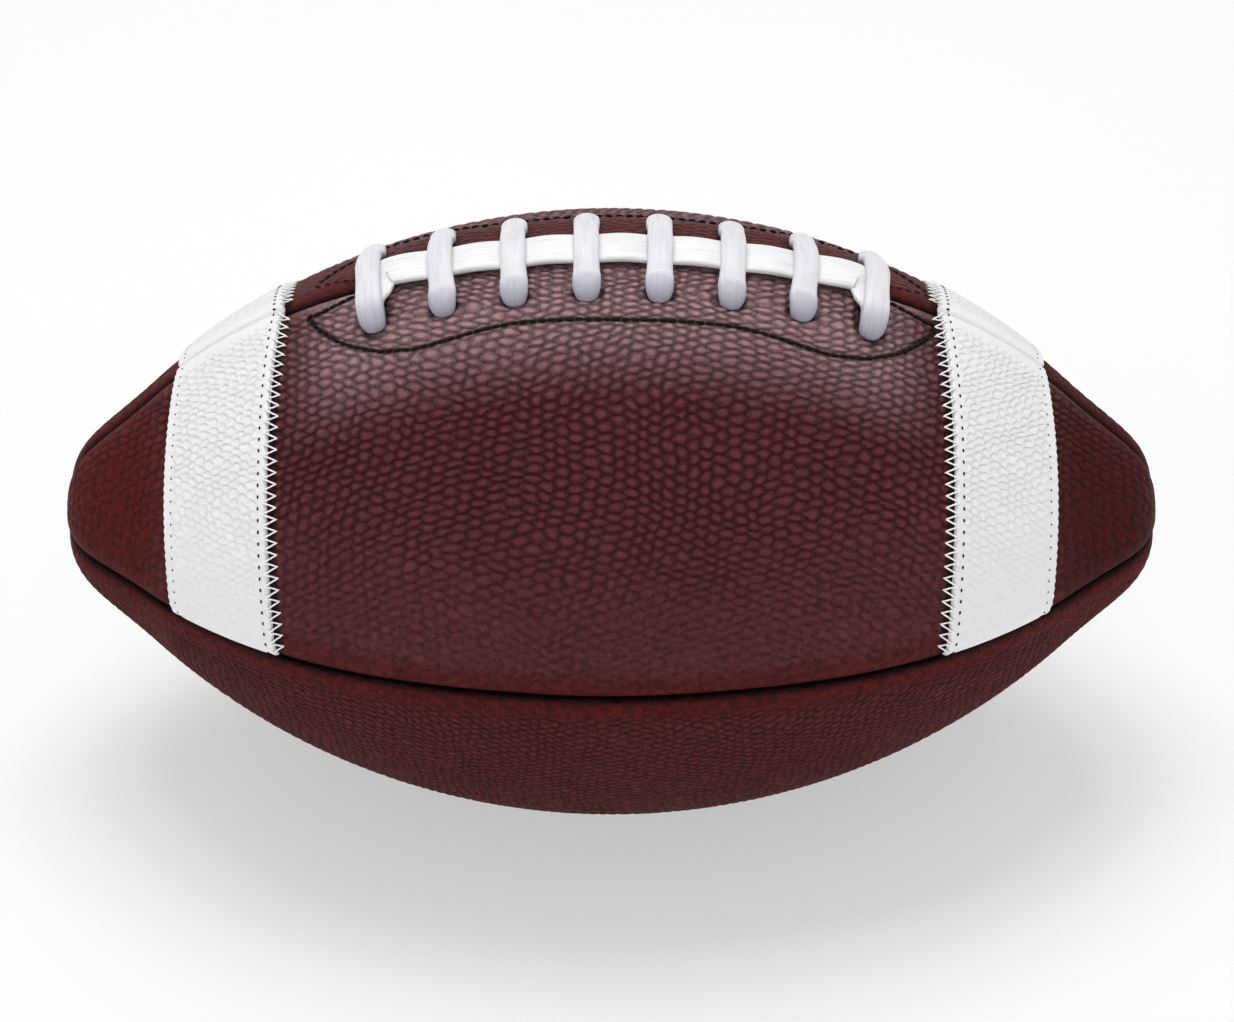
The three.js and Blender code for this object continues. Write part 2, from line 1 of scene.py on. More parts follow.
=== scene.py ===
import bpy
import bmesh
import math
import numpy as np
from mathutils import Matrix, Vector


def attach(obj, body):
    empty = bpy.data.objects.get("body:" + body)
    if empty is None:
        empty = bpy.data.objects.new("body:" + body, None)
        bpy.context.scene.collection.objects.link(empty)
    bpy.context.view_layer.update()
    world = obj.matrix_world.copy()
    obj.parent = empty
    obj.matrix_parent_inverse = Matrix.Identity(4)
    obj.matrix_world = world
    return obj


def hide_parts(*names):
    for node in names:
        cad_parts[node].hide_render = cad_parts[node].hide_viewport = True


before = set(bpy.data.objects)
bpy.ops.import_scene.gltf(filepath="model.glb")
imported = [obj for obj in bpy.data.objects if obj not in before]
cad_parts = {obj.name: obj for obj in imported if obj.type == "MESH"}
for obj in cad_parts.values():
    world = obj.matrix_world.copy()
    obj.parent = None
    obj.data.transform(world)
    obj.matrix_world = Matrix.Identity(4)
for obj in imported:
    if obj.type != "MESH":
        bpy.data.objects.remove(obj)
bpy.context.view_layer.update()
scene = bpy.context.scene
print("frame loaded:", len(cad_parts), "nodes")

# Form of the ball, in millimetres: the same values as the solids
ballForm = {"length": 290.0, "girth": 162.0, "noseLength": 25.0, "noseDiameter": 72.0,
            "noseShoulder": 24.0, "noseFlat": 20.0, "tipRadius": 1.6, "restFlat": 0.65}
seamForm = {"crown": 1.0, "square": 0.075, "squareFrom": 20.0, "squareTo": 115.0,
            "width": 6.0, "depth": 2.5, "gap": 0.4, "reach": 2.4}
# How finely each piece is cut
fineness = {"belly": 300, "nose": 400, "panelColumns": 540, "panelRows": 78, "stripeSteps": 74, "stripeRows": 84,
            "laceStep": 0.6, "laceRing": 24, "valveRing": 48}
millimetre = 0.001
halfPanel = math.pi / 4  # each of the four panels takes a quarter turn
halfLength = ballForm["length"] / 2
girthRadius = ballForm["girth"] / 2
noseRadius = ballForm["noseDiameter"] / 2
bellyEnd = halfLength - ballForm["noseLength"]
bellyDrop = girthRadius - noseRadius
bellyRadius = (bellyEnd ** 2 + bellyDrop ** 2) / (2 * bellyDrop)
bellyAngle = math.asin(bellyEnd / bellyRadius)
axisHeight = girthRadius - seamForm["crown"] - ballForm["restFlat"]


# Half outline of the ball: an arc for the belly, a curve for the nose
def makeProfile():
    angle = np.linspace(0, bellyAngle, fineness["belly"])
    bellyX = bellyRadius * np.sin(angle)
    bellyR = girthRadius - bellyRadius * (1 - np.cos(angle))
    t = np.linspace(0, 1, fineness["nose"])[1:, None]
    foot = np.array([bellyEnd, noseRadius])
    lean = foot + ballForm["noseShoulder"] * np.array([math.cos(bellyAngle), -math.sin(bellyAngle)])
    flat = np.array([halfLength, ballForm["noseFlat"]])
    tip = np.array([halfLength, 0.0])
    nose = foot * (1 - t) ** 3 + 3 * lean * t * (1 - t) ** 2 + 3 * flat * t * t * (1 - t) + tip * t ** 3
    x = np.concatenate([bellyX, nose[:, 0]])
    r = np.concatenate([bellyR, nose[:, 1]])
    along = np.concatenate([[0], np.cumsum(np.hypot(np.diff(x), np.diff(r)))])
    dx, dr = np.gradient(x, along), np.gradient(r, along)
    size = np.hypot(dx, dr)
    return {"along": along, "x": x, "r": r, "nx": -dr / size, "nr": dx / size}


profile = makeProfile()
tipAlong = float(np.interp(-ballForm["tipRadius"], -profile["r"], profile["along"]))


def profileAt(along):
    a, sign = np.abs(along), np.sign(along)
    x, r, nx, nr = (np.interp(a, profile["along"], profile[k]) for k in ("x", "r", "nx", "nr"))
    return x * sign, r, nx * sign, nr


def alongAtX(x):
    return math.copysign(bellyRadius * math.asin(abs(x) / bellyRadius), x)


# A point of the ball in metres; the angle starts at the laced seam and grows towards the rear
def place(along, angle, height):
    x, r, nx, nr = profileAt(along)
    r = r + height * nr
    return np.stack([x + height * nx, r * np.sin(angle), r * np.cos(angle) + axisHeight], -1) * millimetre


def smooth(value, low, high):
    t = np.clip((value - low) / (high - low), 0, 1)
    return t * t * (3 - 2 * t)


def fall(value, low, high):
    return 1 - smooth(value, low, high)


# 1 up to a reach, then fading over a width
def glow(value, reach, width):
    return np.exp(-((value - reach) / width).clip(0) ** 2)


def seamMeasures(r):
    half = r * halfPanel
    shrink = np.minimum(1, half / (2 * seamForm["width"]))
    edge = seamForm["gap"] + (seamForm["width"] - seamForm["gap"]) * shrink
    return half, shrink, edge


# Towards the ends the ball grows squarer and its seams stand out
def endLift(along, s):
    x, r = profileAt(along)[:2]
    half, shrink, edge = seamMeasures(r)
    square = seamForm["square"] * r * smooth(np.abs(x), seamForm["squareFrom"], seamForm["squareTo"])
    return square * shrink * np.clip(1 - s / half, 0, 1) ** 2


def crownDepth(along, s):
    half, shrink, edge = seamMeasures(profileAt(along)[1])
    return seamForm["crown"] * shrink * np.clip(1 - s / half, 0, 1) ** 2 - endLift(along, s)


def shoulderDepth(along, s):
    half, shrink, edge = seamMeasures(profileAt(along)[1])
    into = np.clip((edge - s) / (edge - seamForm["gap"]), 0, 1)
    return seamForm["depth"] * shrink * (1 - np.sqrt(1 - into ** 2))


def leatherDepth(along, s):
    return crownDepth(along, s) + shoulderDepth(along, s)


# Spots on the laced side: along the seam, across from it, height over the leather
def onLeather(along, across, height):
    along, across = np.asarray(along, float), np.asarray(across, float)
    r = profileAt(along)[1]
    fromSeam = np.minimum(np.abs(across), np.abs(r * 2 * halfPanel - np.abs(across)))
    return place(along, across / r, height - leatherDepth(along, fromSeam))


def gridFaces(rows, columns, closed=False):
    index = np.arange(rows * columns).reshape(rows, columns)
    here, after = (index, np.roll(index, -1, 1)) if closed else (index[:, :-1], index[:, 1:])
    return np.stack([here[:-1], after[:-1], after[1:], here[1:]], -1).reshape(-1, 4)


def meshObject(name, points, faces, attributes=None):
    mesh = bpy.data.meshes.new(name)
    mesh.from_pydata(np.asarray(points).tolist(), [], faces if isinstance(faces, list) else faces.tolist())
    mesh.polygons.foreach_set("use_smooth", np.ones(len(mesh.polygons), bool))
    for key, values in (attributes or {}).items():
        layer = mesh.attributes.new(key, "FLOAT", "POINT")
        layer.data.foreach_set("value", np.asarray(values, np.float32).ravel())
    obj = bpy.data.objects.new(name, mesh)
    scene.collection.objects.link(obj)
    return obj


# Turns all faces of a closed piece outwards, after merging its poles where it has any
def closeMesh(obj, poles=False):
    form = bmesh.new()
    form.from_mesh(obj.data)
    if poles:
        bmesh.ops.remove_doubles(form, verts=form.verts, dist=1e-7)
    bmesh.ops.recalc_face_normals(form, faces=form.faces)
    form.to_mesh(obj.data)
    form.free()


def curveObject(name, line, closed=False):
    data = bpy.data.curves.new(name, "CURVE")
    data.dimensions = "3D"
    spline = data.splines.new("POLY")
    spline.points.add(len(line) - 1)
    spline.points.foreach_set("co", np.hstack([line, np.ones((len(line), 1))]).ravel())
    spline.use_cyclic_u = closed
    obj = bpy.data.objects.new(name, data)
    scene.collection.objects.link(obj)
    return obj


def settle(obj, body, slotName, *nodes):
    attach(obj, body)
    if nodes:
        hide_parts(*nodes)
    return obj


# Node helpers: an input takes another node's output or a plain value
def feed(tree, socket, value):
    if isinstance(value, bpy.types.NodeSocket):
        tree.links.new(value, socket)
    elif socket.type == "RGBA":
        socket.default_value = (*value, 1)
    else:
        socket.default_value = value


def node(tree, kind, inputs=None, **settings):
    made = tree.nodes.new(kind)
    for key, value in settings.items():
        setattr(made, key, value)
    for key, value in (inputs or {}).items():
        feed(tree, made.inputs[key], value)
    return made


def mathNode(tree, operation, *values):
    return node(tree, "ShaderNodeMath", dict(enumerate(values)), operation=operation).outputs[0]


def vectorNode(tree, operation, *values, scale=None):
    inputs = dict(enumerate(values))
    if scale is not None:
        inputs["Scale"] = scale
    made = node(tree, "ShaderNodeVectorMath", inputs, operation=operation)
    return made.outputs["Value" if operation in ("DOT_PRODUCT", "LENGTH") else "Vector"]


def newGroup(name, inputs):
    tree = bpy.data.node_groups.new(name, "GeometryNodeTree")
    tree.interface.new_socket("Geometry", in_out="INPUT", socket_type="NodeSocketGeometry")
    for key, value in inputs.items():
        tree.interface.new_socket(key, in_out="INPUT", socket_type="NodeSocketFloat").default_value = value
    tree.interface.new_socket("Material", in_out="INPUT", socket_type="NodeSocketMaterial")
    tree.interface.new_socket("Geometry", in_out="OUTPUT", socket_type="NodeSocketGeometry")
    return tree, tree.nodes.new("NodeGroupInput"), tree.nodes.new("NodeGroupOutput")


def closeGroup(tree, start, end, geometry):
    real = node(tree, "GeometryNodeRealizeInstances", {0: geometry})
    paint = node(tree, "GeometryNodeSetMaterial", {
        "Geometry": real.outputs[0], "Material": start.outputs["Material"]})
    feed(tree, end.inputs[0], paint.outputs[0])


# Runs a node group on an object and keeps the result as a plain mesh
def grow(obj, tree, **values):
    modifier = obj.modifiers.new(tree.name, "NODES")
    modifier.node_group = tree
    sockets = {item.name: item.identifier for item in tree.interface.items_tree if item.in_out == "INPUT"}
    for key, value in values.items():
        modifier[sockets[key]] = value
    bpy.context.view_layer.update()
    evaluated = obj.evaluated_get(bpy.context.evaluated_depsgraph_get())
    mesh = bpy.data.meshes.new_from_object(evaluated)
    obj.modifiers.remove(modifier)
    name, old = obj.name, obj.data
    if obj.type == "MESH":
        obj.data = mesh
        bpy.data.meshes.remove(old)
        mesh.name = name
        return obj
    bpy.data.objects.remove(obj)
    bpy.data.curves.remove(old)
    made = bpy.data.objects.new(name, mesh)
    scene.collection.objects.link(made)
    mesh.polygons.foreach_set("use_smooth", np.ones(len(mesh.polygons), bool))
    return made


# Camera at the photograph's angle
view = {"distance": 762.0, "elevation": 36.1, "lens": 82.86, "aside": 1.5}
camera = bpy.data.objects.new("camera", bpy.data.cameras.new("camera"))
tilt = math.radians(view["elevation"])
camera.location = Vector((view["aside"], -view["distance"] * math.cos(tilt),
                          axisHeight + view["distance"] * math.sin(tilt))) * millimetre
camera.rotation_euler = (math.pi / 2 - tilt, 0, 0)
camera.data.lens = view["lens"]
camera.data.sensor_width = 36
camera.data.clip_start = 0.01
scene.collection.objects.link(camera)
scene.camera = camera


# Materials
def newMaterial(name, roughness, shine=0.5):
    material = bpy.data.materials.new(name)
    material.use_nodes = True
    shader = material.node_tree.nodes["Principled BSDF"]
    shader.inputs["Roughness"].default_value = roughness
    shader.inputs["Specular IOR Level"].default_value = shine
    return material, material.node_tree, shader


def ramp(tree, source, stops):
    made = node(tree, "ShaderNodeValToRGB", {0: source})
    for element, (spot, colour) in zip(made.color_ramp.elements, stops):
        element.position = spot
        element.color = (*colour, 1)
    return made.outputs["Color"]


def noise(tree, vector, scale, detail=3.0, rough=0.55):
    return node(tree, "ShaderNodeTexNoise", {
        "Vector": vector, "Scale": scale, "Detail": detail, "Roughness": rough}).outputs["Fac"]


def attribute(tree, key, output="Fac"):
    return node(tree, "ShaderNodeAttribute", attribute_name=key).outputs[output]


def objectCoords(tree):
    return node(tree, "ShaderNodeTexCoord").outputs["Object"]


def bump(tree, height, shader, strength, distance, under=None):
    made = node(tree, "ShaderNodeBump", {"Strength": strength, "Distance": distance, "Height": height})
    if under is not None:
        feed(tree, made.inputs["Normal"], under)
    feed(tree, shader.inputs["Normal"], made.outputs[0])
    return made.outputs[0]


def mixColour(tree, share, first, second, blend="MIX"):
    return node(tree, "ShaderNodeMix", {0: share, 6: first, 7: second}, data_type="RGBA", blend_type=blend).outputs[2]


def rise(tree, value, low, high):
    return node(tree, "ShaderNodeMapRange", {"Value": value, "From Min": low, "From Max": high},
                interpolation_type="SMOOTHSTEP").outputs[0]


# A field of rounded pebbles, one unit apart: 0 in the creases between them, 1 in the middle of each
def pebbleField(tree, where):
    tall, roundness = 0.75 ** 0.5, 6.0
    reach = []
    for shift in (0.0, 0.5):
        moved = vectorNode(tree, "ADD", where, (shift, 2 * shift * tall, 0))
        cell = vectorNode(tree, "WRAP", moved, (0.5, tall, 0.5), (-0.5, -tall, -0.5))
        total = 0.0
        for turn in (0.0, math.pi / 3, 2 * math.pi / 3):
            across = vectorNode(tree, "DOT_PRODUCT", cell, (math.cos(turn), math.sin(turn), 0))
            size = mathNode(tree, "POWER", mathNode(tree, "ABSOLUTE", across), roundness)
            total = mathNode(tree, "ADD", size, total)
        reach.append(mathNode(tree, "POWER", total, 1 / roundness))
    return mathNode(tree, "MULTIPLY_ADD", mathNode(tree, "MINIMUM", *reach), -2.0, 1.0)


# Values of the field between which painted shade darkens the creases, a painted highlight brightens the tops, the
# shaded dome and the real relief rise
pebbleSteps = {"creaseShade": (-0.06, 0.16), "top": (0.0, 0.5), "dome": (-0.12, 0.6), "relief": (-0.15, 0.75)}
# Leather finishes: the pale colour is a painted sheen, the crease gain painted shade in the creases, the top gain a
# painted highlight on the pebble tops, and the dark gain painted shade where the shade attribute marks it
leatherFinish = {
    "brown": {"low": (0.062, 0.0148, 0.0164), "high": (0.084, 0.0222, 0.0242), "warm": (0.055, 0.0036, 0.0021),
              "paleAndSheen": (0.30, 0.184, 0.194), "creaseShade": 0.34, "top": 1.16, "dark": 0.07, "bump": 1.2,
              "wrinkle": 0.62, "rough": 0.40, "shine": 0.06},
    "white": {"low": (0.71, 0.712, 0.719), "high": (0.758, 0.758, 0.763), "warm": (0.76, 0.76, 0.765),
              "paleAndSheen": (0.76, 0.76, 0.765), "creaseShade": 1.0, "top": 1.0, "dark": 0.55, "bump": 0.4,
              "wrinkle": 0.04, "rough": 0.5, "shine": 0.25}}
leatherNoise = {"tone": 26, "wrinkle": 560, "rough": 55, "pore": 2400}


def leatherMaterial(name, finish):
    material, tree, shader = newMaterial(name, finish["rough"], finish["shine"])

    def times(first, second):
        return mathNode(tree, "MULTIPLY", first, second)

    def line(value, slope, base):
        return mathNode(tree, "MULTIPLY_ADD", value, slope, base)

    where = objectCoords(tree)
    mask = attribute(tree, "grain")
    pebble = pebbleField(tree, attribute(tree, "grainAt", "Vector"))
    creaseShade = times(mathNode(tree, "SUBTRACT", 1.0, rise(tree, pebble, *pebbleSteps["creaseShade"])), mask)
    top = times(rise(tree, pebble, *pebbleSteps["top"]), mask)
    dome = times(rise(tree, pebble, *pebbleSteps["dome"]), mask)
    plain = line(mask, -0.7, 1.0)
    wrinkle = times(rise(tree, noise(tree, where, leatherNoise["wrinkle"], 3, 0.6), 0.34, 0.62), plain)
    tone = mixColour(tree, noise(tree, where, leatherNoise["tone"], 4), finish["low"], finish["high"])
    # The warm tone, then the pale colour, which is a painted sheen
    for key in ("warm", "paleAndSheen"):
        tone = mixColour(tree, attribute(tree, key), tone, finish[key])
    # Colour gain: a painted highlight on the pebble tops, wrinkles, painted shade in the creases and where the shade
    # attribute marks it
    gain = line(top, finish["top"] - 1, 1.0)
    uneven = mathNode(tree, "SUBTRACT", wrinkle, times(plain, 0.5))
    for value, share in ((uneven, finish["wrinkle"]), (creaseShade, finish["creaseShade"] - 1),
                         (attribute(tree, "shade"), finish["dark"] - 1)):
        gain = times(gain, line(value, share, 1.0))
    feed(tree, shader.inputs["Base Color"], vectorNode(tree, "SCALE", tone, scale=gain))
    rough = line(noise(tree, where, leatherNoise["rough"], 3), 0.2, finish["rough"] + 0.15)
    rough = line(attribute(tree, "gloss"), -0.25, rough)
    feed(tree, shader.inputs["Roughness"], line(creaseShade, 0.35, rough))
    under = bump(tree, noise(tree, where, leatherNoise["pore"], 4, 0.65), shader, 0.22, 0.0002)
    under = bump(tree, wrinkle, shader, finish["wrinkle"], 0.0004, under)
    bump(tree, dome, shader, 1.0, millimetre * finish["bump"], under)
    return material


brownLeather = leatherMaterial("brownLeather", leatherFinish["brown"])
whiteLeather = leatherMaterial("whiteLeather", leatherFinish["white"])

# The grey colour is painted shade on the crosses, darkest at their front ends
laceFinish = {"low": (0.75, 0.755, 0.765), "high": (0.82, 0.82, 0.825), "laceShade": (0.36, 0.36, 0.42),
              "streak": (0.89, 0.89, 0.905), "rough": 0.45, "shine": 0.3}


def laceMaterial():
    material, tree, shader = newMaterial("laceWhite", laceFinish["rough"], laceFinish["shine"])
    where = objectCoords(tree)
    tone = ramp(tree, noise(tree, where, 90, 3), [(0.3, laceFinish["low"]), (0.7, laceFinish["high"])])
    tone = mixColour(tree, attribute(tree, "laceShade"), tone, laceFinish["laceShade"])
    streak = node(tree, "ShaderNodeCombineXYZ", {
        0: mathNode(tree, "MULTIPLY", attribute(tree, "laceAlong"), 0.05), 1: attribute(tree, "laceAcross")})
    lines = noise(tree, streak.outputs[0], 1.6, 3)
    streaks = ramp(tree, lines, [(0.36, laceFinish["streak"]), (0.5, (1, 1, 1))])
    feed(tree, shader.inputs["Base Color"], mixColour(tree, 1.0, tone, streaks, "MULTIPLY"))
    under = bump(tree, lines, shader, 0.35, 0.0006)
    bump(tree, noise(tree, where, 1500, 4), shader, 0.12, 0.0003, under)
    return material


laceWhite = laceMaterial()


def plainMaterial(name, dark, paleAndSheen, roughness, scale, fine, strength, detail=4, distance=0.0003, shine=0.5):
    material, tree, shader = newMaterial(name, roughness, shine)
    where = objectCoords(tree)
    tone = ramp(tree, noise(tree, where, scale, detail), [(0.3, dark), (0.7, paleAndSheen)])
    feed(tree, shader.inputs["Base Color"], tone)
    bump(tree, noise(tree, where, fine, detail), shader, strength, distance)
    return material


threadFinish = {"scale": 900, "fine": 4200, "strength": 0.5, "detail": 3, "distance": 0.0002, "shine": 0.12}
blackThread = plainMaterial("blackThread", (0.002, 0.002, 0.002), (0.006, 0.005, 0.005), 0.75, **threadFinish)
whiteThread = plainMaterial("whiteThread", (0.80, 0.80, 0.80), (0.90, 0.90, 0.90), 0.6, **threadFinish)
# Near-black dots painted as the shade inside needle holes
needleHoleShade = plainMaterial("needleHoleShade", (0.004, 0.004, 0.004), (0.012, 0.010, 0.010), 0.9, **threadFinish)


def clothMaterial():
    material, tree, shader = newMaterial("liningCloth", 0.92)
    where = objectCoords(tree)
    weave = [node(tree, "ShaderNodeTexWave", {"Vector": where, "Scale": 700}, wave_type="BANDS",
                  bands_direction=way).outputs["Fac"] for way in ("X", "Y")]
    tone = ramp(tree, noise(tree, where, 120, 4), [(0.3, (0.52, 0.48, 0.4)), (0.7, (0.64, 0.6, 0.52))])
    feed(tree, shader.inputs["Base Color"], tone)
    bump(tree, mathNode(tree, "ADD", *weave), shader, 0.5, 0.0002)
    return material


liningCloth = clothMaterial()
facingLeather = plainMaterial("facingLeather", (0.16, 0.09, 0.055), (0.24, 0.14, 0.09), 0.85, 80, 1120, 0.5)
bladderRubber = plainMaterial("bladderRubber", (0.02, 0.02, 0.021), (0.034, 0.034, 0.036), 0.62, 60, 840, 0.2)
valveRubber = plainMaterial("valveRubber", (0.010, 0.010, 0.0105), (0.02, 0.02, 0.021), 0.55, 140, 1960, 0.25)
print("materials made")


# Stitched outline of the facings: tip, outer edge and the line beside the seam
facingOutline = {"tip": (78.7, 6.7), "edge": [(77.2, 10.5), (74, 15), (70.8, 18.8), (67, 22), (60, 26), (51, 28),
                                              (43, 27.2), (35, 25.8), (27, 25), (14, 25.3), (0, 25.7)],
                 "beside": 1.6, "besideTo": 58, "shift": 3.0, "softness": 15}


def outlinePath():
    tipX, tipS = facingOutline["tip"]
    edge = [facingOutline["tip"], *facingOutline["edge"]]
    knots = np.array([(-x, s) for x, s in edge] + [(x, s) for x, s in reversed(edge[:-1])])
    step = np.concatenate([[0], np.cumsum(np.hypot(*np.diff(knots, axis=0).T))])
    fine = np.linspace(0, step[-1], 700)
    reach = facingOutline["softness"]
    soft = np.hanning(2 * reach + 1) / np.hanning(2 * reach + 1).sum()
    front = []
    for column in knots.T:
        line = np.interp(fine, step, column)
        line[reach:-reach] = np.convolve(line, soft, "same")[reach:-reach]
        front.append(line)
    back = np.linspace(tipX, -tipX, 500)[1:-1]
    beside = facingOutline["beside"] + (tipS - facingOutline["beside"]) * smooth(
        np.abs(back), facingOutline["besideTo"], tipX)
    along = np.array([alongAtX(v + facingOutline["shift"]) for v in np.concatenate([front[0], back])])
    return np.stack([along, np.concatenate([front[1], beside])], -1)


stitchPath = outlinePath()

# Lacing, as the solids have it but for a wider strand
laceForm = {"count": 8, "pitch": 18.2, "shift": 3.0, "width": 6.7, "strand": 12.6, "holeWidth": 4.4, "thick": 3.0,
            "inside": 2.0, "pressed": 2.2, "hole": 16.5, "lean": 0.015, "strandHole": 11.3, "clearance": 0.25,
            "gap": 0.35, "bend": 3.0, "tail": 9.0, "flange": 5.9, "through": 3.05}
laceRows = [laceForm["pitch"] * (row - (laceForm["count"] - 1) / 2) + laceForm["shift"]
            for row in range(laceForm["count"])]


def laceSlots(side):
    half = laceForm["thick"] / 2 + laceForm["clearance"]
    slots = []
    for row, along in enumerate(laceRows):
        shared = side < 0 and row in (0, laceForm["count"] - 1)
        near = (laceForm["strandHole"] if shared else laceForm["hole"]) - half
        far = laceForm["hole"] + half
        leaned = along + side * laceForm["lean"] * (along - laceForm["shift"])
        slots.append((leaned, (near + far) / 2, laceForm["holeWidth"] / 2 + laceForm["clearance"], (far - near) / 2))
    return slots


# Leather grain: pebbles of the hide as real relief, in rows that wander
grainForm = {"squeeze": 1.45, "turn": 0.6, "seedStep": 37.0,
             "wander": ((0.016, 14.0), (0.09, 3.3), (0.3, 1.5), (0.62, 0.5))}


def grainGroup():
    tree, start, end = newGroup("leatherGrain", {"Pebble": 2.7, "Relief": 0.36, "Seed": 0.0})

    def named(key):
        return node(tree, "GeometryNodeInputNamedAttribute", {"Name": key}, data_type="FLOAT").outputs[0]

    flat = node(tree, "ShaderNodeCombineXYZ", {
        0: mathNode(tree, "MULTIPLY_ADD", start.outputs["Seed"], grainForm["seedStep"], named("along")),
        1: mathNode(tree, "MULTIPLY", named("arc"), grainForm["squeeze"])})
    turned = node(tree, "ShaderNodeVectorRotate", {"Vector": flat.outputs[0], "Angle": grainForm["turn"]},
                  rotation_type="Z_AXIS").outputs[0]
    moved = turned
    for scale, reach in grainForm["wander"]:
        wander = node(tree, "ShaderNodeTexNoise", {"Vector": turned, "Scale": scale, "Detail": 0.0})
        centred = vectorNode(tree, "SUBTRACT", wander.outputs["Color"], (0.5, 0.5, 0.5))
        moved = vectorNode(tree, "ADD", moved, vectorNode(tree, "SCALE", centred, scale=reach))
    cells = vectorNode(tree, "SCALE", moved, scale=mathNode(tree, "DIVIDE", 1.0, start.outputs["Pebble"]))
    keep = node(tree, "GeometryNodeStoreNamedAttribute", {
        "Geometry": start.outputs["Geometry"], "Name": "grainAt", "Value": cells},
        data_type="FLOAT_VECTOR", domain="POINT")
    pebble = rise(tree, pebbleField(tree, cells), *pebbleSteps["relief"])
    depth = mathNode(tree, "MULTIPLY", mathNode(tree, "SUBTRACT", pebble, 1.0), start.outputs["Relief"])
    depth = mathNode(tree, "MULTIPLY", mathNode(tree, "MULTIPLY", depth, named("grain")), millimetre)
    push = vectorNode(tree, "SCALE", node(tree, "GeometryNodeInputNormal").outputs[0], scale=depth)
    shift = node(tree, "GeometryNodeSetPosition", {"Geometry": keep.outputs[0], "Offset": push})
    closeGroup(tree, start, end, shift.outputs[0])
    return tree


leatherGrain = grainGroup()


# Rows across a panel: turned-in edge, rounded shoulder, crown, and the same on the other side
def panelRows(crownRows):
    turned = [("turned", k / 3) for k in range(3)]
    shoulder = [("shoulder", math.pi / 2 * (1 - k / 9)) for k in range(9)]
    crown = [("crown", k / crownRows) for k in range(crownRows)]
    half = turned + shoulder + crown
    return [(-1, *row) for row in half] + [(-1, "crown", 1.0)] + [(1, *row) for row in reversed(half)]


def panelGrid(centre, columns, crownRows):
    along = np.linspace(-tipAlong, tipAlong, columns)
    r = profileAt(along)[1]
    half, shrink, edge = seamMeasures(r)
    gap = seamForm["gap"]
    rows = []
    for side, zone, value in panelRows(crownRows):
        if zone == "turned":
            s = np.full(columns, gap)
        elif zone == "shoulder":
            s = edge - (edge - gap) * math.sin(value)
        else:
            s = edge + (half - edge) * value
        depth = leatherDepth(along, s)
        if zone == "turned":
            depth = depth + seamForm["reach"] * shrink * (1 - value)
        rows.append((s, depth, side * (half - s)))
    s, depth, arc = (np.array(item) for item in zip(*rows))
    count = len(rows)
    return {"along": np.tile(along, (count, 1)), "s": s, "depth": depth, "arc": arc,
            "angle": centre + arc / np.tile(r, (count, 1)), "faces": gridFaces(count, columns)}


# Opens a grid where a spot is inside, and leaves the spots near the edge as its rim
def openGrid(grid, inside, rim):
    grid["faces"] = grid["faces"][~inside.ravel()[grid["faces"]].all(1)]
    grid["rim"] = rim.ravel()


def cutSlots(grid, slots):
    r = profileAt(grid["along"])[1]
    across = np.abs(grid["angle"]) * r
    inside = np.zeros(grid["along"].shape, bool)
    rim = np.zeros(grid["along"].shape, bool)
    for along, middle, wide, tall in slots:
        u, v = (grid["along"] - along) / wide, (across - middle) / tall
        size = (np.abs(u) ** 5 + np.abs(v) ** 5) ** 0.2
        inner = size < 1
        near = inner & (size > 0.55)
        widen = np.where(inner, 1 / np.maximum(size, 1e-6), 1)
        grid["along"] = np.where(near, along + u * widen * wide, grid["along"])
        moved = middle + v * widen * tall
        grid["angle"] = np.where(near, np.sign(grid["angle"]) * moved / r, grid["angle"])
        inside |= inner
        rim |= near
    openGrid(grid, inside, rim)


# Walls of the holes, down through the leather
def addWalls(obj, rim, deep):
    form = bmesh.new()
    form.from_mesh(obj.data)
    edges = sorted((e for e in form.edges if e.is_boundary and all(rim[v.index] for v in e.verts)),
                   key=lambda e: sorted(v.index for v in e.verts))
    foot = {}
    for vert in (v for e in edges for v in e.verts):
        if vert not in foot:
            outward = Vector((0, vert.co.y, vert.co.z - axisHeight * millimetre)).normalized()
            foot[vert] = form.verts.new(vert.co - outward * deep, vert)
    for loop in [e.link_loops[0] for e in edges]:
        first, second = loop.vert, loop.link_loop_next.vert
        form.faces.new((second, first, foot[first], foot[second]), loop.face)
    loose = [v for v in form.verts if not v.link_faces]
    bmesh.ops.delete(form, geom=loose, context="VERTS")
    form.to_mesh(obj.data)
    form.free()


panelForm = {"relief": 0.5, "upperPebble": 3.9, "lowerPebble": 2.9, "lowerGrain": 0.65, "wall": 2.8,
             "tip": (104, 122), "lip": (20, 27), "groove": 0.45, "grooveWidth": 0.7, "hollow": 0.35}
stripeForm = {"start": 85.0, "width": 28.0, "thick": 0.9, "lift": 0.35, "margin": 0.45, "bow": 2.4,
              "relief": 0.13, "pebble": 3.0, "tooth": 2.1, "toothDepth": 0.42}
valveForm = {"angle": 135.0, "hole": 5.0, "stem": 4.5, "recess": 0.5}


# Hollow of the stitches round the facing
def stitchGroove(grid, across, edgeX, laced):
    near = (edgeX < 95) & (across < 34)
    spots = np.stack([grid["along"][near], across[near]], -1)
    gap = np.full(len(spots), 1e3)
    for piece in np.array_split(stitchPath, 12):
        gap = np.minimum(gap, np.sqrt(((spots[:, None] - piece[None]) ** 2).sum(-1)).min(1))
    groove = np.zeros(edgeX.shape)
    groove[near] = np.exp(-(gap / panelForm["grooveWidth"]) ** 2)
    return groove * smooth(across, 9, 11) if laced > 0 else groove


def atLeast(tones, key, value):
    tones[key] = np.maximum(tones[key], value)
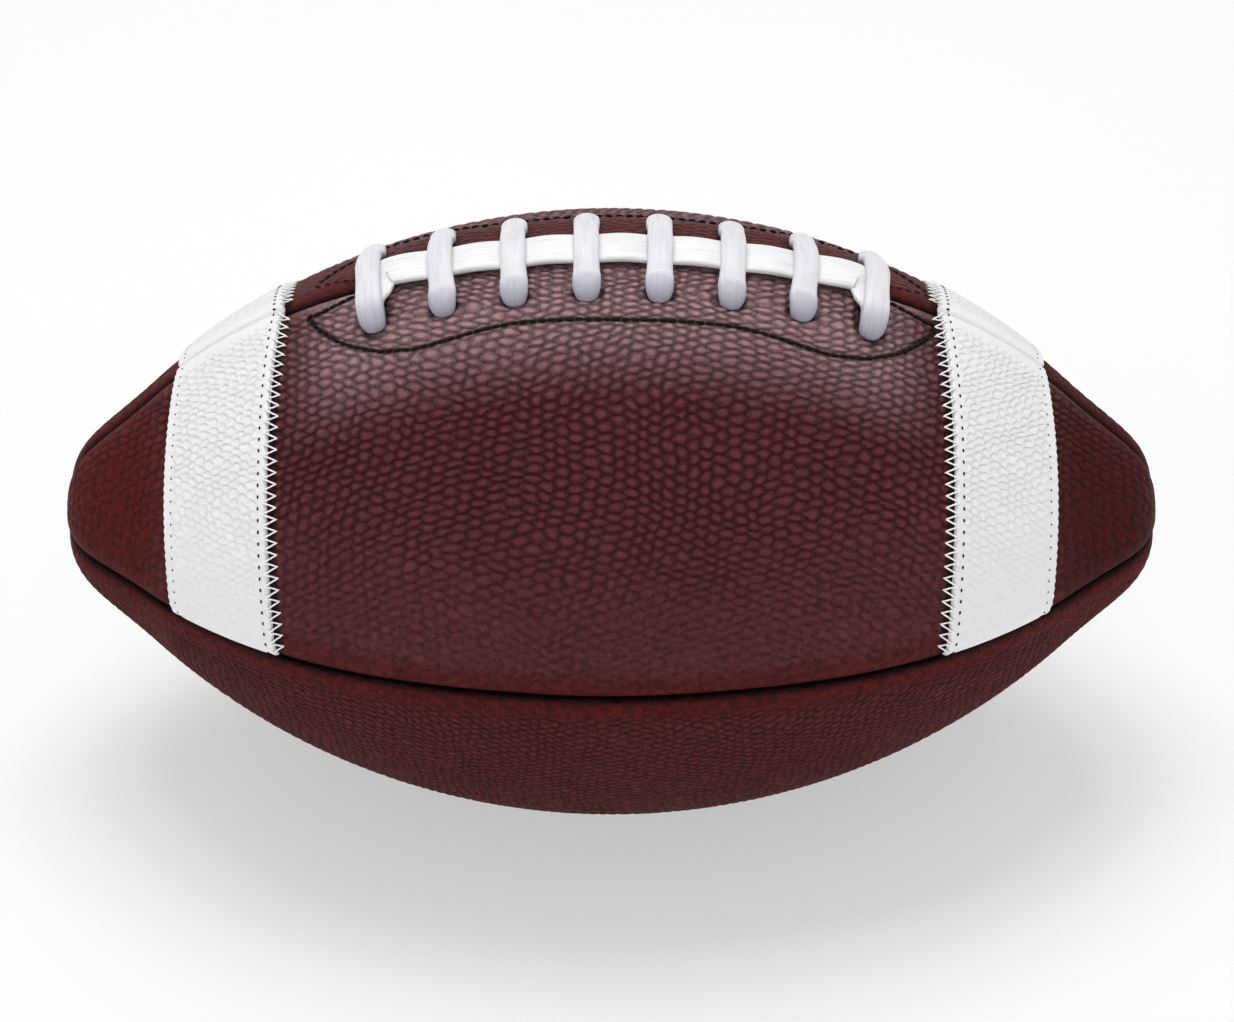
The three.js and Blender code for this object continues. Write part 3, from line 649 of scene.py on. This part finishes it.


# Upper panels: a smooth, warm-toned lip by the lacing and a painted sheen near the lacing, flat under the stripes,
# hollow at stitches and lace holes, with painted shade in the stitch grooves, round the lace holes, beside the
# stripes' edges and on the right tip
def dressUpper(grid, tones, laced, x, r):
    across, edgeX = np.abs(grid["angle"]) * r, np.abs(x)
    stripeFrom = stripeForm["start"] - stripeForm["bow"] * np.clip(1 - grid["s"] / (r * halfPanel), 0, 1) ** 2
    low = smooth(np.abs(r * 2 * halfPanel - across), 6, 58)
    middle = fall(edgeX, 64, 86)
    tones["grain"] *= 0.34 + 0.66 * low
    tones["gloss"] *= 0.65 + 0.35 * low
    # Painted shade on the right tip
    atLeast(tones, "shade", 0.4 * smooth(x, 104, 120))
    if laced > 0:
        lip = fall(across, *panelForm["lip"])
        tones["grain"] *= 1 - 0.8 * lip * (edgeX < stripeFrom)
        atLeast(tones, "warm", 0.65 * lip)
        tones["gloss"] *= 1 - 0.4 * lip
        # Painted sheen on the rear panel beyond its lip
        tones["paleAndSheen"] = 0.4 * (1 - lip) * fall(across, 27, 56) * middle
    else:
        # Painted sheen on the front panel near the lacing
        tones["paleAndSheen"] = 0.8 * fall(across, 20, 50) * middle
        tones["gloss"] += 1.2 * fall(across, 18, 46) * fall(edgeX, 60, 84)
    groove = stitchGroove(grid, across, edgeX, laced)
    grid["depth"] += panelForm["groove"] * groove
    tones["grain"] *= 1 - 0.8 * groove
    # Painted shade in the stitch groove
    atLeast(tones, "shade", 0.85 * groove)
    for along, centre, wide, tall in laceSlots(laced):
        away = np.hypot((grid["along"] - along) / wide, (across - centre) / tall)
        sunk = glow(away, 0.8, 0.5)
        grid["depth"] += panelForm["hollow"] * sunk
        tones["grain"] *= 1 - 0.7 * sunk
        # Painted shadow round the lace holes and under the ends of the crosses
        atLeast(tones, "shade", 0.9 * glow(away, 1.35, 0.5))
    covered = (edgeX > stripeFrom - 1.5) & (edgeX < stripeFrom + stripeForm["width"] - 1)
    tones["grain"] = np.where(covered, 0.0, tones["grain"])
    # Painted shadow beside the stripe's inner edge
    beside = smooth(edgeX - stripeFrom, -2.6, -0.8) * (edgeX < stripeFrom + 5)
    atLeast(tones, "shade", 0.9 * beside)


def cutValveHole(grid, tones, r):
    hole, centre = valveForm["hole"], math.radians(valveForm["angle"])
    turn = (grid["angle"] - centre) * r
    away = np.hypot(grid["along"], turn)
    inner = away < hole
    near = inner & (away > hole * 0.6)
    widen = np.where(near, hole / np.maximum(away, 1e-6), 1)
    grid["along"] = grid["along"] * widen
    grid["angle"] = np.where(near, centre + turn * widen / r, grid["angle"])
    openGrid(grid, inner, near)
    grid["depth"] += panelForm["hollow"] * glow(away, hole, 1.6)
    tones["grain"] *= smooth(away, hole, hole + 3)


def makePanel(name, centre, laced, seed):
    grid = panelGrid(math.radians(centre), fineness["panelColumns"], fineness["panelRows"])
    if laced:
        cutSlots(grid, laceSlots(laced))
    x, r = profileAt(grid["along"])[:2]
    s, tip = grid["s"], smooth(np.abs(x), *panelForm["tip"])
    # Painted shade darkens the leather into the seams
    tones = {"grain": smooth(s, 2.5, 8.0) * (1 - 0.5 * smooth(np.abs(x), 111, 117)),
             "warm": np.maximum(0.85 * tip, 0.75 * fall(s, 4.0, 11.0)), "paleAndSheen": np.zeros(x.shape),
             "shade": fall(s, 0.5, 2.6) ** 1.5, "gloss": 1 - 0.75 * tip}
    pebble = panelForm["upperPebble"] if laced else panelForm["lowerPebble"]
    if laced:
        dressUpper(grid, tones, laced, x, r)
    else:
        tones["grain"] *= panelForm["lowerGrain"]
        tones["gloss"] *= 0.4
        atLeast(tones, "warm", 0.35)
    if name == "panelRearLower":
        cutValveHole(grid, tones, r)
    points = place(grid["along"], grid["angle"], -grid["depth"]).reshape(-1, 3)
    obj = meshObject(name, points, grid["faces"], {"along": grid["along"], "arc": grid["arc"], **tones})
    if "rim" in grid:
        addWalls(obj, grid["rim"], panelForm["wall"] * millimetre)
    obj = grow(obj, leatherGrain, Pebble=pebble, Relief=panelForm["relief"], Seed=float(seed), Material=brownLeather)
    spots = np.empty(len(obj.data.vertices) * 3)
    obj.data.vertices.foreach_get("co", spots)
    spots[2::3] = np.maximum(spots[2::3], 0)  # the flat on which the ball rests
    obj.data.vertices.foreach_set("co", spots)
    obj.data.update()
    return obj


panelList = [("panelFrontUpper", -45, -1, 1, "panel_front_upper"),
             ("panelRearUpper", 45, 1, 11, "panel_rear_upper"),
             ("panelFrontLower", -135, 0, 23, "panel_front_lower"),
             ("panelRearLower", 135, 0, 37, "panel_rear_lower")]
for name, centre, laced, seed, nodeName in panelList:
    settle(makePanel(name, centre, laced, seed), "root", "leather", nodeName)
print("panels made")


# The stripes bridge most of the laced seam's hollow
def stripeBed(along, angle, s):
    share = np.where(np.abs(angle) < halfPanel, 0.3, 1.0)
    return crownDepth(along, s) + share * shoulderDepth(along, s)


# White stripes: a skin on the panel with rolled edges, the outer one pinked
def makeStripe(name, centre, side, seed):
    rows = np.array([k / fineness["stripeRows"] for k in range(fineness["stripeRows"] + 1)])
    top = stripeForm["lift"] + stripeForm["thick"]
    sunk = -0.3
    roll = [sunk, top * 0.45, top * 0.82, top * 0.97]
    share = np.concatenate([[0, 0, 0.006, 0.016, 0.03], np.linspace(0.045, 0.955, fineness["stripeSteps"] - 10),
                            [0.97, 0.984, 0.994, 1, 1]])
    height = np.full(len(share), top)
    height[:4], height[-4:] = roll, roll[::-1]
    share, across = np.meshgrid(share, np.concatenate([-1 + rows, rows[1:]]), indexing="ij")
    height = np.tile(height[:, None], (1, across.shape[1]))
    x = stripeForm["start"] + stripeForm["width"] * share - stripeForm["bow"] * np.abs(across) ** 2
    along = bellyRadius * np.arcsin(x / bellyRadius)
    edgeLow, edgeHigh = along[:1], along[-1:]
    r = profileAt(along)[1]
    half = seamMeasures(r)[0]
    s = half - np.abs(across) * (half - stripeForm["margin"])
    arc = np.sign(across) * (half - s)
    teeth = stripeForm["toothDepth"] * np.abs(((arc / stripeForm["tooth"]) % 1) * 2 - 1)
    along = along - teeth * smooth(share, 0.93, 1.0) + 0.12 * np.sin(arc * 2.2) * smooth(1 - share, 0.95, 1.0)
    atEnd = smooth(np.abs(across), 0.985, 1.0)
    height = height * (1 - atEnd) + sunk * atEnd
    sewn = np.exp(-((along - edgeLow - 2.0) / 0.8) ** 2) + np.exp(-((along - edgeHigh + 3.0) / 0.8) ** 2)
    sewn = np.clip(sewn, 0, 1)
    height = height - 0.22 * sewn * (height > 0.8)
    angle = math.radians(centre) + arc / r
    points = place(side * along, angle, height - stripeBed(along, angle, s))
    fade = smooth(np.abs(r * 2 * halfPanel - np.abs(angle) * r), 8, 48)
    grain = smooth(s, 2, 8) * (0.25 + 0.75 * fade) * smooth(share, 0.03, 0.1) * smooth(1 - share, 0.02, 0.09)
    grain = grain * (1 - 0.7 * sewn)
    faces = gridFaces(*along.shape)[:, [0, 3, 2, 1] if side < 0 else [1, 2, 3, 0]]
    none = np.zeros(along.shape)
    obj = meshObject(name, points.reshape(-1, 3), faces, {
        "along": along, "arc": arc, "grain": grain, "warm": none, "paleAndSheen": none, "shade": none, "gloss": none + 1})
    return grow(obj, leatherGrain, Pebble=stripeForm["pebble"], Relief=stripeForm["relief"], Seed=float(seed),
                Material=whiteLeather)


stripeList = [("FrontLeft", -45, -1, 51, "stripe_front_left"), ("FrontRight", -45, 1, 57, "stripe_front_right"),
              ("RearLeft", 45, -1, 63, "stripe_rear_left"), ("RearRight", 45, 1, 69, "stripe_rear_right")]
for name, centre, side, seed, nodeName in stripeList:
    settle(makeStripe("stripe" + name, centre, side, seed), "root", "white_leather", nodeName)
print("stripes made")


# Thread along a curve, as a round tube
def threadGroup():
    tree, start, end = newGroup("threadTube", {"Radius": 0.0004})
    ring = node(tree, "GeometryNodeCurvePrimitiveCircle", {"Resolution": 8, "Radius": start.outputs["Radius"]})
    tube = node(tree, "GeometryNodeCurveToMesh", {
        "Curve": start.outputs["Geometry"], "Profile Curve": ring.outputs[0], "Fill Caps": True})
    closeGroup(tree, start, end, tube.outputs[0])
    return tree


# Short stitches or dots set along a curve
def stitchGroup():
    tree, start, end = newGroup("stitchRow", {"Pitch": 0.0022, "Long": 0.0011, "Wide": 0.0004, "Tall": 0.0003})
    even = node(tree, "GeometryNodeResampleCurve", {
        "Curve": start.outputs["Geometry"], "Length": start.outputs["Pitch"]}, mode="LENGTH")
    bead = node(tree, "GeometryNodeMeshUVSphere", {"Segments": 10, "Rings": 8, "Radius": 1.0})
    size = node(tree, "ShaderNodeCombineXYZ", {
        spot: start.outputs[key] for spot, key in enumerate(("Wide", "Tall", "Long"))})
    places = node(tree, "GeometryNodeCurveToPoints", {"Curve": even.outputs[0]}, mode="EVALUATED")
    copies = node(tree, "GeometryNodeInstanceOnPoints", {
        "Points": places.outputs["Points"], "Instance": bead.outputs["Mesh"],
        "Rotation": places.outputs["Rotation"], "Scale": size.outputs[0]})
    closeGroup(tree, start, end, copies.outputs[0])
    return tree


threadTube = threadGroup()
stitchRow = stitchGroup()

# Black stitches, in metres: pitch, half length, half width, half height
stitchForm = {"facingStitchFront": (0.0023, 0.00115, 0.0005, 0.00045), "lipStitch": (0.0031, 0.0006, 0.00045, 0.0004),
              "facingStitchRear": (0.0027, 0.00095, 0.00042, 0.00045)}


def sewLine(name, line, closed=False):
    pitch, long, wide, tall = stitchForm[name]
    stitches = grow(curveObject(name, line, closed), stitchRow, Pitch=pitch, Long=long, Wide=wide, Tall=tall,
                    Material=blackThread)
    settle(stitches, "root", "leather")


frontLine, rearLine = (onLeather(stitchPath[:, 0], way * stitchPath[:, 1], np.full(len(stitchPath), -0.12))
                       for way in (-1, 1))
sewLine("facingStitchFront", frontLine, True)
sewLine("lipStitch", onLeather(np.linspace(-64, 70, 200), np.full(200, 8.6), np.full(200, -0.1)))
sewLine("facingStitchRear", np.concatenate([rearLine[-65:], rearLine[:765]]))  # open beside the seam

# Zigzag sewing over the stripe's inner edge, and its needle holes as raised dark dots of painted shade
sewing = {"pitch": 2.9, "inWhite": 0.55, "onBrown": 2.6, "dotRow": 2.2, "outerRow": 3.0, "thread": 0.00021,
          "innerDot": 0.0005, "outerDot": 0.00032, "dotHeight": 0.00022}


def sewStripe(prefix, centre, side):
    pitch = sewing["pitch"]
    edgeLow = alongAtX(stripeForm["start"])
    edgeHigh = alongAtX(stripeForm["start"] + stripeForm["width"])
    top = stripeForm["lift"] + stripeForm["thick"] - 0.1
    white, brown = sewing["inWhite"], -sewing["onBrown"]
    half = float(profileAt(edgeLow)[1]) * halfPanel
    count = int((2 * half - 4) / pitch)
    first = -half + 2 + (2 * half - 4 - count * pitch) / 2
    # One stitch from the stripe over its edge to the brown leather; the way back mirrors it
    out = [(white, 0, top - 0.5), (white - 0.15, 0.05, top + 0.2), (0, 0.26, top + 0.3), (-0.9, 0.68, 0.62),
           (brown + 0.3, 1.31, 0.25)]
    stitch = out + [(brown, pitch / 2, -0.45)] + [(reach, pitch - a, height) for reach, a, height in out[:0:-1]]
    starts = [first + k * pitch for k in range(count + 1)]
    spots = [(edgeLow + reach, start + a, height) for start in starts[:-1] for reach, a, height in stitch]
    spots.append((edgeLow + white, starts[-1], top - 0.5))
    inner = [(edgeLow + sewing["dotRow"], start, top - 0.14) for start in starts]
    outerAt = edgeHigh - sewing["outerRow"]
    outerHalf = float(profileAt(outerAt)[1]) * halfPanel
    outer = [(outerAt, a, top - 0.16) for a in np.arange(-outerHalf + 2.2, outerHalf - 2.0, pitch)]

    def lay(items):
        data = np.array(items)
        turn = data[:, 1] / profileAt(data[:, 0])[1]
        along = data[:, 0] - 1.12 * stripeForm["bow"] * (np.abs(turn) / halfPanel) ** 2
        angle = math.radians(centre) + turn
        s = profileAt(along)[1] * (halfPanel - np.abs(turn))
        return place(side * along, angle, data[:, 2] - stripeBed(along, angle, s))

    thread = grow(curveObject(prefix + "Zigzag", lay(spots)), threadTube, Radius=sewing["thread"],
                  Material=whiteThread)
    settle(thread, "root", "white_leather")
    for suffix, row, size in (("NeedleHoleShadeInner", inner, sewing["innerDot"]), ("NeedleHoleShadeOuter", outer, sewing["outerDot"])):
        dots = grow(curveObject(prefix + suffix, lay(row)), stitchRow, Pitch=pitch * millimetre,
                    Long=size, Wide=size, Tall=sewing["dotHeight"], Material=needleHoleShade)
        settle(dots, "root", "white_leather")


for name, centre, side, seed, nodeName in stripeList:
    sewStripe(name[0].lower() + name[1:], centre, side)
print("sewing made")


# Lace: the route of the solid, smoothed, with a soft flat section
# A stop is: along the ball, across from the seam, height, turn in degrees, thickness, width
def laceRoute():
    f = laceForm
    wide, strand, narrow = f["width"], f["strand"], f["holeWidth"]
    thin, full, pressed, through = f["inside"], f["thick"], f["pressed"], f["through"]
    strandHole, hole, bend = f["strandHole"], f["hole"], f["bend"]
    insideRun = f["flange"] + f["gap"] + thin / 2
    insideBend = insideRun + thin + f["gap"]

    def lying(s):
        return f["gap"] + full / 2 - float(leatherDepth(0.0, abs(float(s))))

    strandSide, strandHeight = strand / 2 + f["gap"], lying(strand / 2)
    over = strandHeight - (full - pressed) / 2 + (full + pressed) / 2 + 0.1
    first, end = laceRows[0], laceRows[-1]
    strandEdge, strandTurn = strandHole - bend / 2, strand / 2 + bend / 2
    settleAt, halfPitch = hole - bend, f["pitch"] / 2
    # Ends of the crosses: across, drop or height, added thickness, share of the width
    fingerEnd = [(12.6, 0.0, 0.2, 1.07), (14.7, -0.25, 0.7, 1.06), (16.4, 0.1, 1.2, 1.05), (17.5, 1.2, 1.1, 0.93),
                 (17.1, 3.0, 0.3, 0.72)]
    outerEnd = [(14.4, lying(hole) + full / 2, 0.4, 1.06), (16.4, lying(hole) + 0.2, 1.1, 1.05),
                (17.5, -0.1, 1.1, 0.93), (17.1, -1.9, 0.3, 0.72)]
    stops = []

    def stop(along, side, height, turn, thick=full, width=wide):
        stops.append((along, side, height, turn, thick, width))

    # The strand comes up through an end hole and turns along the seam
    def strandEnd(foot, way):
        run = [(0, -strandHole + bend, -insideRun, 0, thin, wide),
               (0, -strandHole + 0.5, 1 - insideRun, 0, thin, narrow), (0, -strandHole, -through, 0, full, narrow),
               (0, -strandHole + 0.3, -0.4, 2, full, narrow + 0.5),
               (0.1, -strandEdge + 0.1, lying(strandEdge) - 0.3, 4, pressed, wide * 1.04),
               (0.4, -strandTurn - 0.2, lying(strandTurn) - 0.3, 18, pressed, strand * 0.74),
               (1.1, -strandTurn * 0.45, strandHeight - 0.3, 40, pressed, strand * 0.9),
               (3.9, -0.3, strandHeight, 70, full, strand * 0.98), (7.5, 0, strandHeight, 90, full, strand)]
        return [(foot + on * way, side, height, 180 - turn if way > 0 else turn, thick, width)
                for on, side, height, turn, thick, width in run]

    stop(first, strandHole - bend - f["tail"], -insideRun, 180, thin)
    stops.extend(strandEnd(first, 1))
    for along in laceRows[1:-1]:
        stop(along, 0, strandHeight - (full - pressed) / 2, 90, pressed, strand * 1.02)
        if along != laceRows[-2]:
            stop(along + halfPitch, 0, strandHeight, 90, full, strand * 0.98)
    stops.extend(reversed(strandEnd(end, -1)))
    stop(end, 0, -insideRun, 0, thin)
    # The crosses, from the last row back to the first
    for row in range(f["count"] - 1, -1, -1):
        along = laceRows[row]
        lastRow = row == f["count"] - 1
        outer = row == 0 or lastRow
        slant = 0 if lastRow else 20
        stop(along + slant / 22, settleAt, -insideRun, slant, thin)
        stop(along, hole - 0.5, 1 - insideRun, slant / 4, thin, narrow)
        stop(along, hole, -through, 0, full, narrow)
        for s, drop, more, share in reversed(fingerEnd):
            stop(along, s - 0.4, lying(s) - drop, 0, min(full + more, full + 0.5), wide * share * 0.95)
        slope = [(strandSide + 5, lying(strandSide + 5), 1.02),
                 (strandSide + 2.3, (over + lying(strandSide + 5)) / 2, 0.97)]
        for s, height, share in slope:
            stop(along, s, height, 0, full, wide * share)
        stop(along, strandSide, over - 0.25, 0, full, wide * 0.95)
        stop(along, 0, over + 0.5, 0)
        stop(along, -strandSide, over + (0.35 if outer else -0.25), 0, full, wide * 0.95)
        if outer:
            stop(along, -strandEdge, lying(strandEdge) + 2.5, 0)
            for s, height, more, share in outerEnd:
                stop(along, -s, height, 0, full + more, wide * share)
        else:
            for s, height, share in reversed(slope):
                stop(along, -s, height, 0, full, wide * share)
            for s, drop, more, share in fingerEnd:
                stop(along, -s, lying(s) - drop, 0, full + more, wide * share)
        stop(along, -hole, -through, 0, full, narrow)
        if row == 0:
            stop(along, -hole - 0.5, 1 - insideRun, 0, thin, narrow)
            stop(along, -settleAt - 2 * bend, -insideRun, 0, thin)
            stop(along, -settleAt - 2 * bend - f["tail"] / 3, -insideRun, 0, thin)
        else:
            low = insideBend if lastRow else insideRun
            stop(along, -hole + 0.5, 1 - low, 5, thin, narrow)
            stop(along - 0.9, -settleAt, -low, 20, thin)
            stop(along - halfPitch * 0.72, -settleAt * 0.28, -low, 28, thin)
            stop(along - halfPitch, 0, -(low + insideRun) / 2, 28, thin)
            stop(along - halfPitch * 1.28, settleAt * 0.28, -insideRun, 28, thin)
    return np.array(stops, float)


# Smooth curve through the stops that never overshoots them
def softCurve(t, value, fine):
    step, slope = np.diff(t), np.diff(value) / np.diff(t)
    before, after = slope[:-1], slope[1:]
    turning = before * after <= 0
    mean = 2 * before * after / np.where(turning, 1, before + after)
    tangent = np.concatenate([[slope[0]], np.where(turning, 0, mean), [slope[-1]]])
    k = np.clip(np.searchsorted(t, fine, "right") - 1, 0, len(step) - 1)
    h = step[k]
    u = (fine - t[k]) / h
    curve = ((1 + 2 * u) * (1 - u) ** 2 * value[k] + u * (1 - u) ** 2 * h * tangent[k]
             + u * u * (3 - 2 * u) * value[k + 1] + u * u * (u - 1) * h * tangent[k + 1])
    soft = np.hanning(7)[1:-1] / np.hanning(7).sum()
    padded = np.pad(curve, len(soft) // 2, "edge")
    return np.convolve(padded, soft, "valid")


def makeLace():
    stops = laceRoute()
    t = np.concatenate([[0], np.cumsum(np.linalg.norm(np.diff(stops[:, :3], axis=0), axis=1))])
    fine = np.arange(0, t[-1], fineness["laceStep"])
    along, side, height, turn, thick, broad = (softCurve(t, column, fine) for column in stops.T)
    along = along + laceForm["lean"] * (along - laceForm["shift"]) * side / laceForm["hole"]
    x, r, nx, nr = profileAt(along)
    angle = side / r
    points = place(along, angle, height + endLift(along, np.abs(side)))
    lengthwise = np.stack([nr, -nx * np.sin(angle), -nx * np.cos(angle)], -1)
    sideways = np.stack([np.zeros(len(r)), np.cos(angle), -np.sin(angle)], -1)
    travel = np.gradient(points, axis=0)
    travel /= np.linalg.norm(travel, axis=1)[:, None]
    bend = np.radians(turn)[:, None]
    wide = lengthwise * np.cos(bend) + sideways * np.sin(bend)
    wide -= travel * (wide * travel).sum(1)[:, None]
    wide /= np.linalg.norm(wide, axis=1)[:, None]
    deep = np.cross(travel, wide)
    crossing = (height > -2.5) & (np.abs(turn) < 1)
    slimmer = np.where(crossing, 1 - 0.04 * np.exp(-(side / 5) ** 2), 1.0)
    # Painted shade: the crosses a little greyer than the strand, most of all towards their front ends
    laceShade = np.where((height > -4) & (np.abs(turn) < 1), 0.28 + 0.72 * smooth(-side, 11.0, 17.5), 0)
    # The section is a soft rectangle, rounder at the ends of the crosses
    fingers = np.where(crossing, smooth(np.abs(side), 12.5, 15.5), 0)
    power = 2 / (2.8 - 0.7 * fingers)[:, None]
    ring = np.linspace(0, 2 * np.pi, fineness["laceRing"], endpoint=False)[None]
    ru, rv = (np.sign(c) * np.abs(c) ** power for c in (np.cos(ring), np.sin(ring)))
    u = ru * (broad / 2 * slimmer)[:, None]
    v = rv * (1 + 0.10 * (1 - ru ** 2)) * (thick / 2)[:, None]
    body = points[:, None] + (wide[:, None] * u[..., None] + deep[:, None] * v[..., None]) * millimetre
    rings, sides = body.shape[:2]
    faces = gridFaces(rings, sides, True).tolist()
    faces += [list(range(sides))[::-1], list(range((rings - 1) * sides, rings * sides))]
    length = np.concatenate([[0], np.cumsum(np.linalg.norm(np.diff(points, axis=0), axis=1))]) / millimetre
    obj = meshObject("laceStrip", body.reshape(-1, 3), faces, {
        "laceAlong": np.repeat(length, sides), "laceAcross": u.ravel(), "laceShade": np.repeat(laceShade, sides)})
    closeMesh(obj)
    obj.data.materials.append(laceWhite)
    print("lace length", round(length[-1] * millimetre, 3), "m")
    return obj


settle(makeLace(), "root", "lace_white", "lace")


# Valve: rubber body with a rounded rim, and the plug with its needle dimple
def lathe(name, outline, angle, material):
    turn = math.radians(angle)
    out = np.array([0, math.sin(turn), math.cos(turn)])
    sideA, sideB = np.array([1.0, 0, 0]), np.array([0, math.cos(turn), -math.sin(turn)])
    base = out * girthRadius + np.array([0, 0, axisHeight])
    ring = np.linspace(0, 2 * np.pi, fineness["valveRing"], endpoint=False)
    shape = np.array(outline, float)
    body = (base + shape[:, None, 1, None] * out + shape[:, None, 0, None]
            * (np.cos(ring)[None, :, None] * sideA + np.sin(ring)[None, :, None] * sideB)) * millimetre
    obj = meshObject(name, body.reshape(-1, 3), gridFaces(len(shape), len(ring), True))
    closeMesh(obj, poles=True)
    obj.data.materials.append(material)
    return obj


# Outlines: radius, height over the belly
stem, recess = valveForm["stem"], valveForm["recess"]
bodyOutline = [(2.0, -8.2), (6.6, -8.2), (7.0, -7.9), (7.0, -7.4), (6.7, -7.1), (stem, -7.1), (stem, -1.2),
               (stem - 0.12, -0.75), (stem - 0.45, -recess), (3.2, -recess - 0.03), (2.5, -recess), (2.1, -0.72),
               (2.0, -1.1), (2.0, -8.2)]
plugOutline = [(0.0, -11.4), (1.7, -11.4), (2.7, -9.8), (3.0, -9.0), (2.8, -8.5), (1.75, -8.45), (1.75, -1.1),
               (1.6, -0.82), (1.05, -0.8), (0.6, -1.25), (0.3, -1.75), (0.0, -1.95)]
settle(lathe("valveBody", bodyOutline, valveForm["angle"], valveRubber), "root", "valve_rubber", "valve_body")
settle(lathe("valvePlug", plugOutline, valveForm["angle"], valveRubber), "root", "valve_rubber", "valve_plug")

# Inner pieces keep the solids' shapes
innerFinish = {"lining": liningCloth, "lace_facing": facingLeather, "lace_tongue": facingLeather,
               "bladder": bladderRubber}
for nodeName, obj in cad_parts.items():
    for key, material in innerFinish.items():
        if nodeName.startswith(key):
            obj.data.materials.clear()
            obj.data.materials.append(material)
print("lace, valve and inner pieces made")

# Floor, backdrop and lights; sizes in metres, power in watts
studio = {"floor": 3, "floorTone": (0.9, 0.9, 0.9, 1), "nearShare": 0.42, "shareRise": (0.25, 1.0),
          "worldLight": 0.43}
floorSpots = [(studio["floor"] * a, studio["floor"] * b, 0) for a, b in ((-1, -1), (1, -1), (1, 1), (-1, 1))]
floor = meshObject("floor", floorSpots, [[0, 1, 2, 3]])
floorMaterial, floorTree, floorShader = newMaterial("floorPale", 0.9)
floorShader.inputs["Base Color"].default_value = studio["floorTone"]
floor.data.materials.append(floorMaterial)


# 1 for rays that see or mirror the backdrop, 0 for those that light the ball
def seenRay(tree):
    rays = node(tree, "ShaderNodeLightPath").outputs
    mirrored = mathNode(tree, "MAXIMUM", rays["Is Glossy Ray"], rays["Is Transmission Ray"])
    return mathNode(tree, "MAXIMUM", rays["Is Camera Ray"], mirrored)


# The floor shows paler than it lights, most of all far from the ball, and keeps the ball's shadow
fromBall = vectorNode(floorTree, "LENGTH", objectCoords(floorTree))
paleShare = mathNode(floorTree, "MULTIPLY_ADD", rise(floorTree, fromBall, *studio["shareRise"]),
                     1 - studio["nearShare"], studio["nearShare"])
floorMix = node(floorTree, "ShaderNodeMixShader", {
    0: mathNode(floorTree, "MULTIPLY", seenRay(floorTree), paleShare), 1: floorShader.outputs[0],
    2: node(floorTree, "ShaderNodeEmission").outputs[0]})
feed(floorTree, floorTree.nodes["Material Output"].inputs["Surface"], floorMix.outputs[0])

# The backdrop is white where it is seen or mirrored, and a plain soft light elsewhere
world = bpy.data.worlds.new("studio")
scene.world = world
world.use_nodes = True
backdrop = world.node_tree.nodes["Background"]
backdrop.inputs["Color"].default_value = (1, 1, 1, 1)
feed(world.node_tree, backdrop.inputs["Strength"], mathNode(
    world.node_tree, "MULTIPLY_ADD", seenRay(world.node_tree), 1 - studio["worldLight"], studio["worldLight"]))


def softLight(name, spot, aim, size, power):
    light = bpy.data.lights.new(name, "AREA")
    light.shape = "RECTANGLE"
    light.size, light.size_y = size
    light.energy = power
    obj = bpy.data.objects.new(name, light)
    obj.location = spot
    obj.rotation_euler = (Vector(aim) - Vector(spot)).to_track_quat("-Z", "Y").to_euler()
    obj.visible_camera = False
    scene.collection.objects.link(obj)


softLight("keyLight", (-0.06, 0.22, 1.25), (0, 0, 0.08), (0.9, 0.6), 10.3)
softLight("frontLight", (-0.2, -2.4, 1.45), (0, -0.1, 0.03), (2.2, 1.3), 7.8)
for way in (-1, 1):
    softLight("lowLight", (1.4 * way, -0.95, 0.36), (0, -0.14, 0), (1.2, 0.48), 7.4)
scene.view_settings.view_transform = "Standard"
print("floor and lights made")
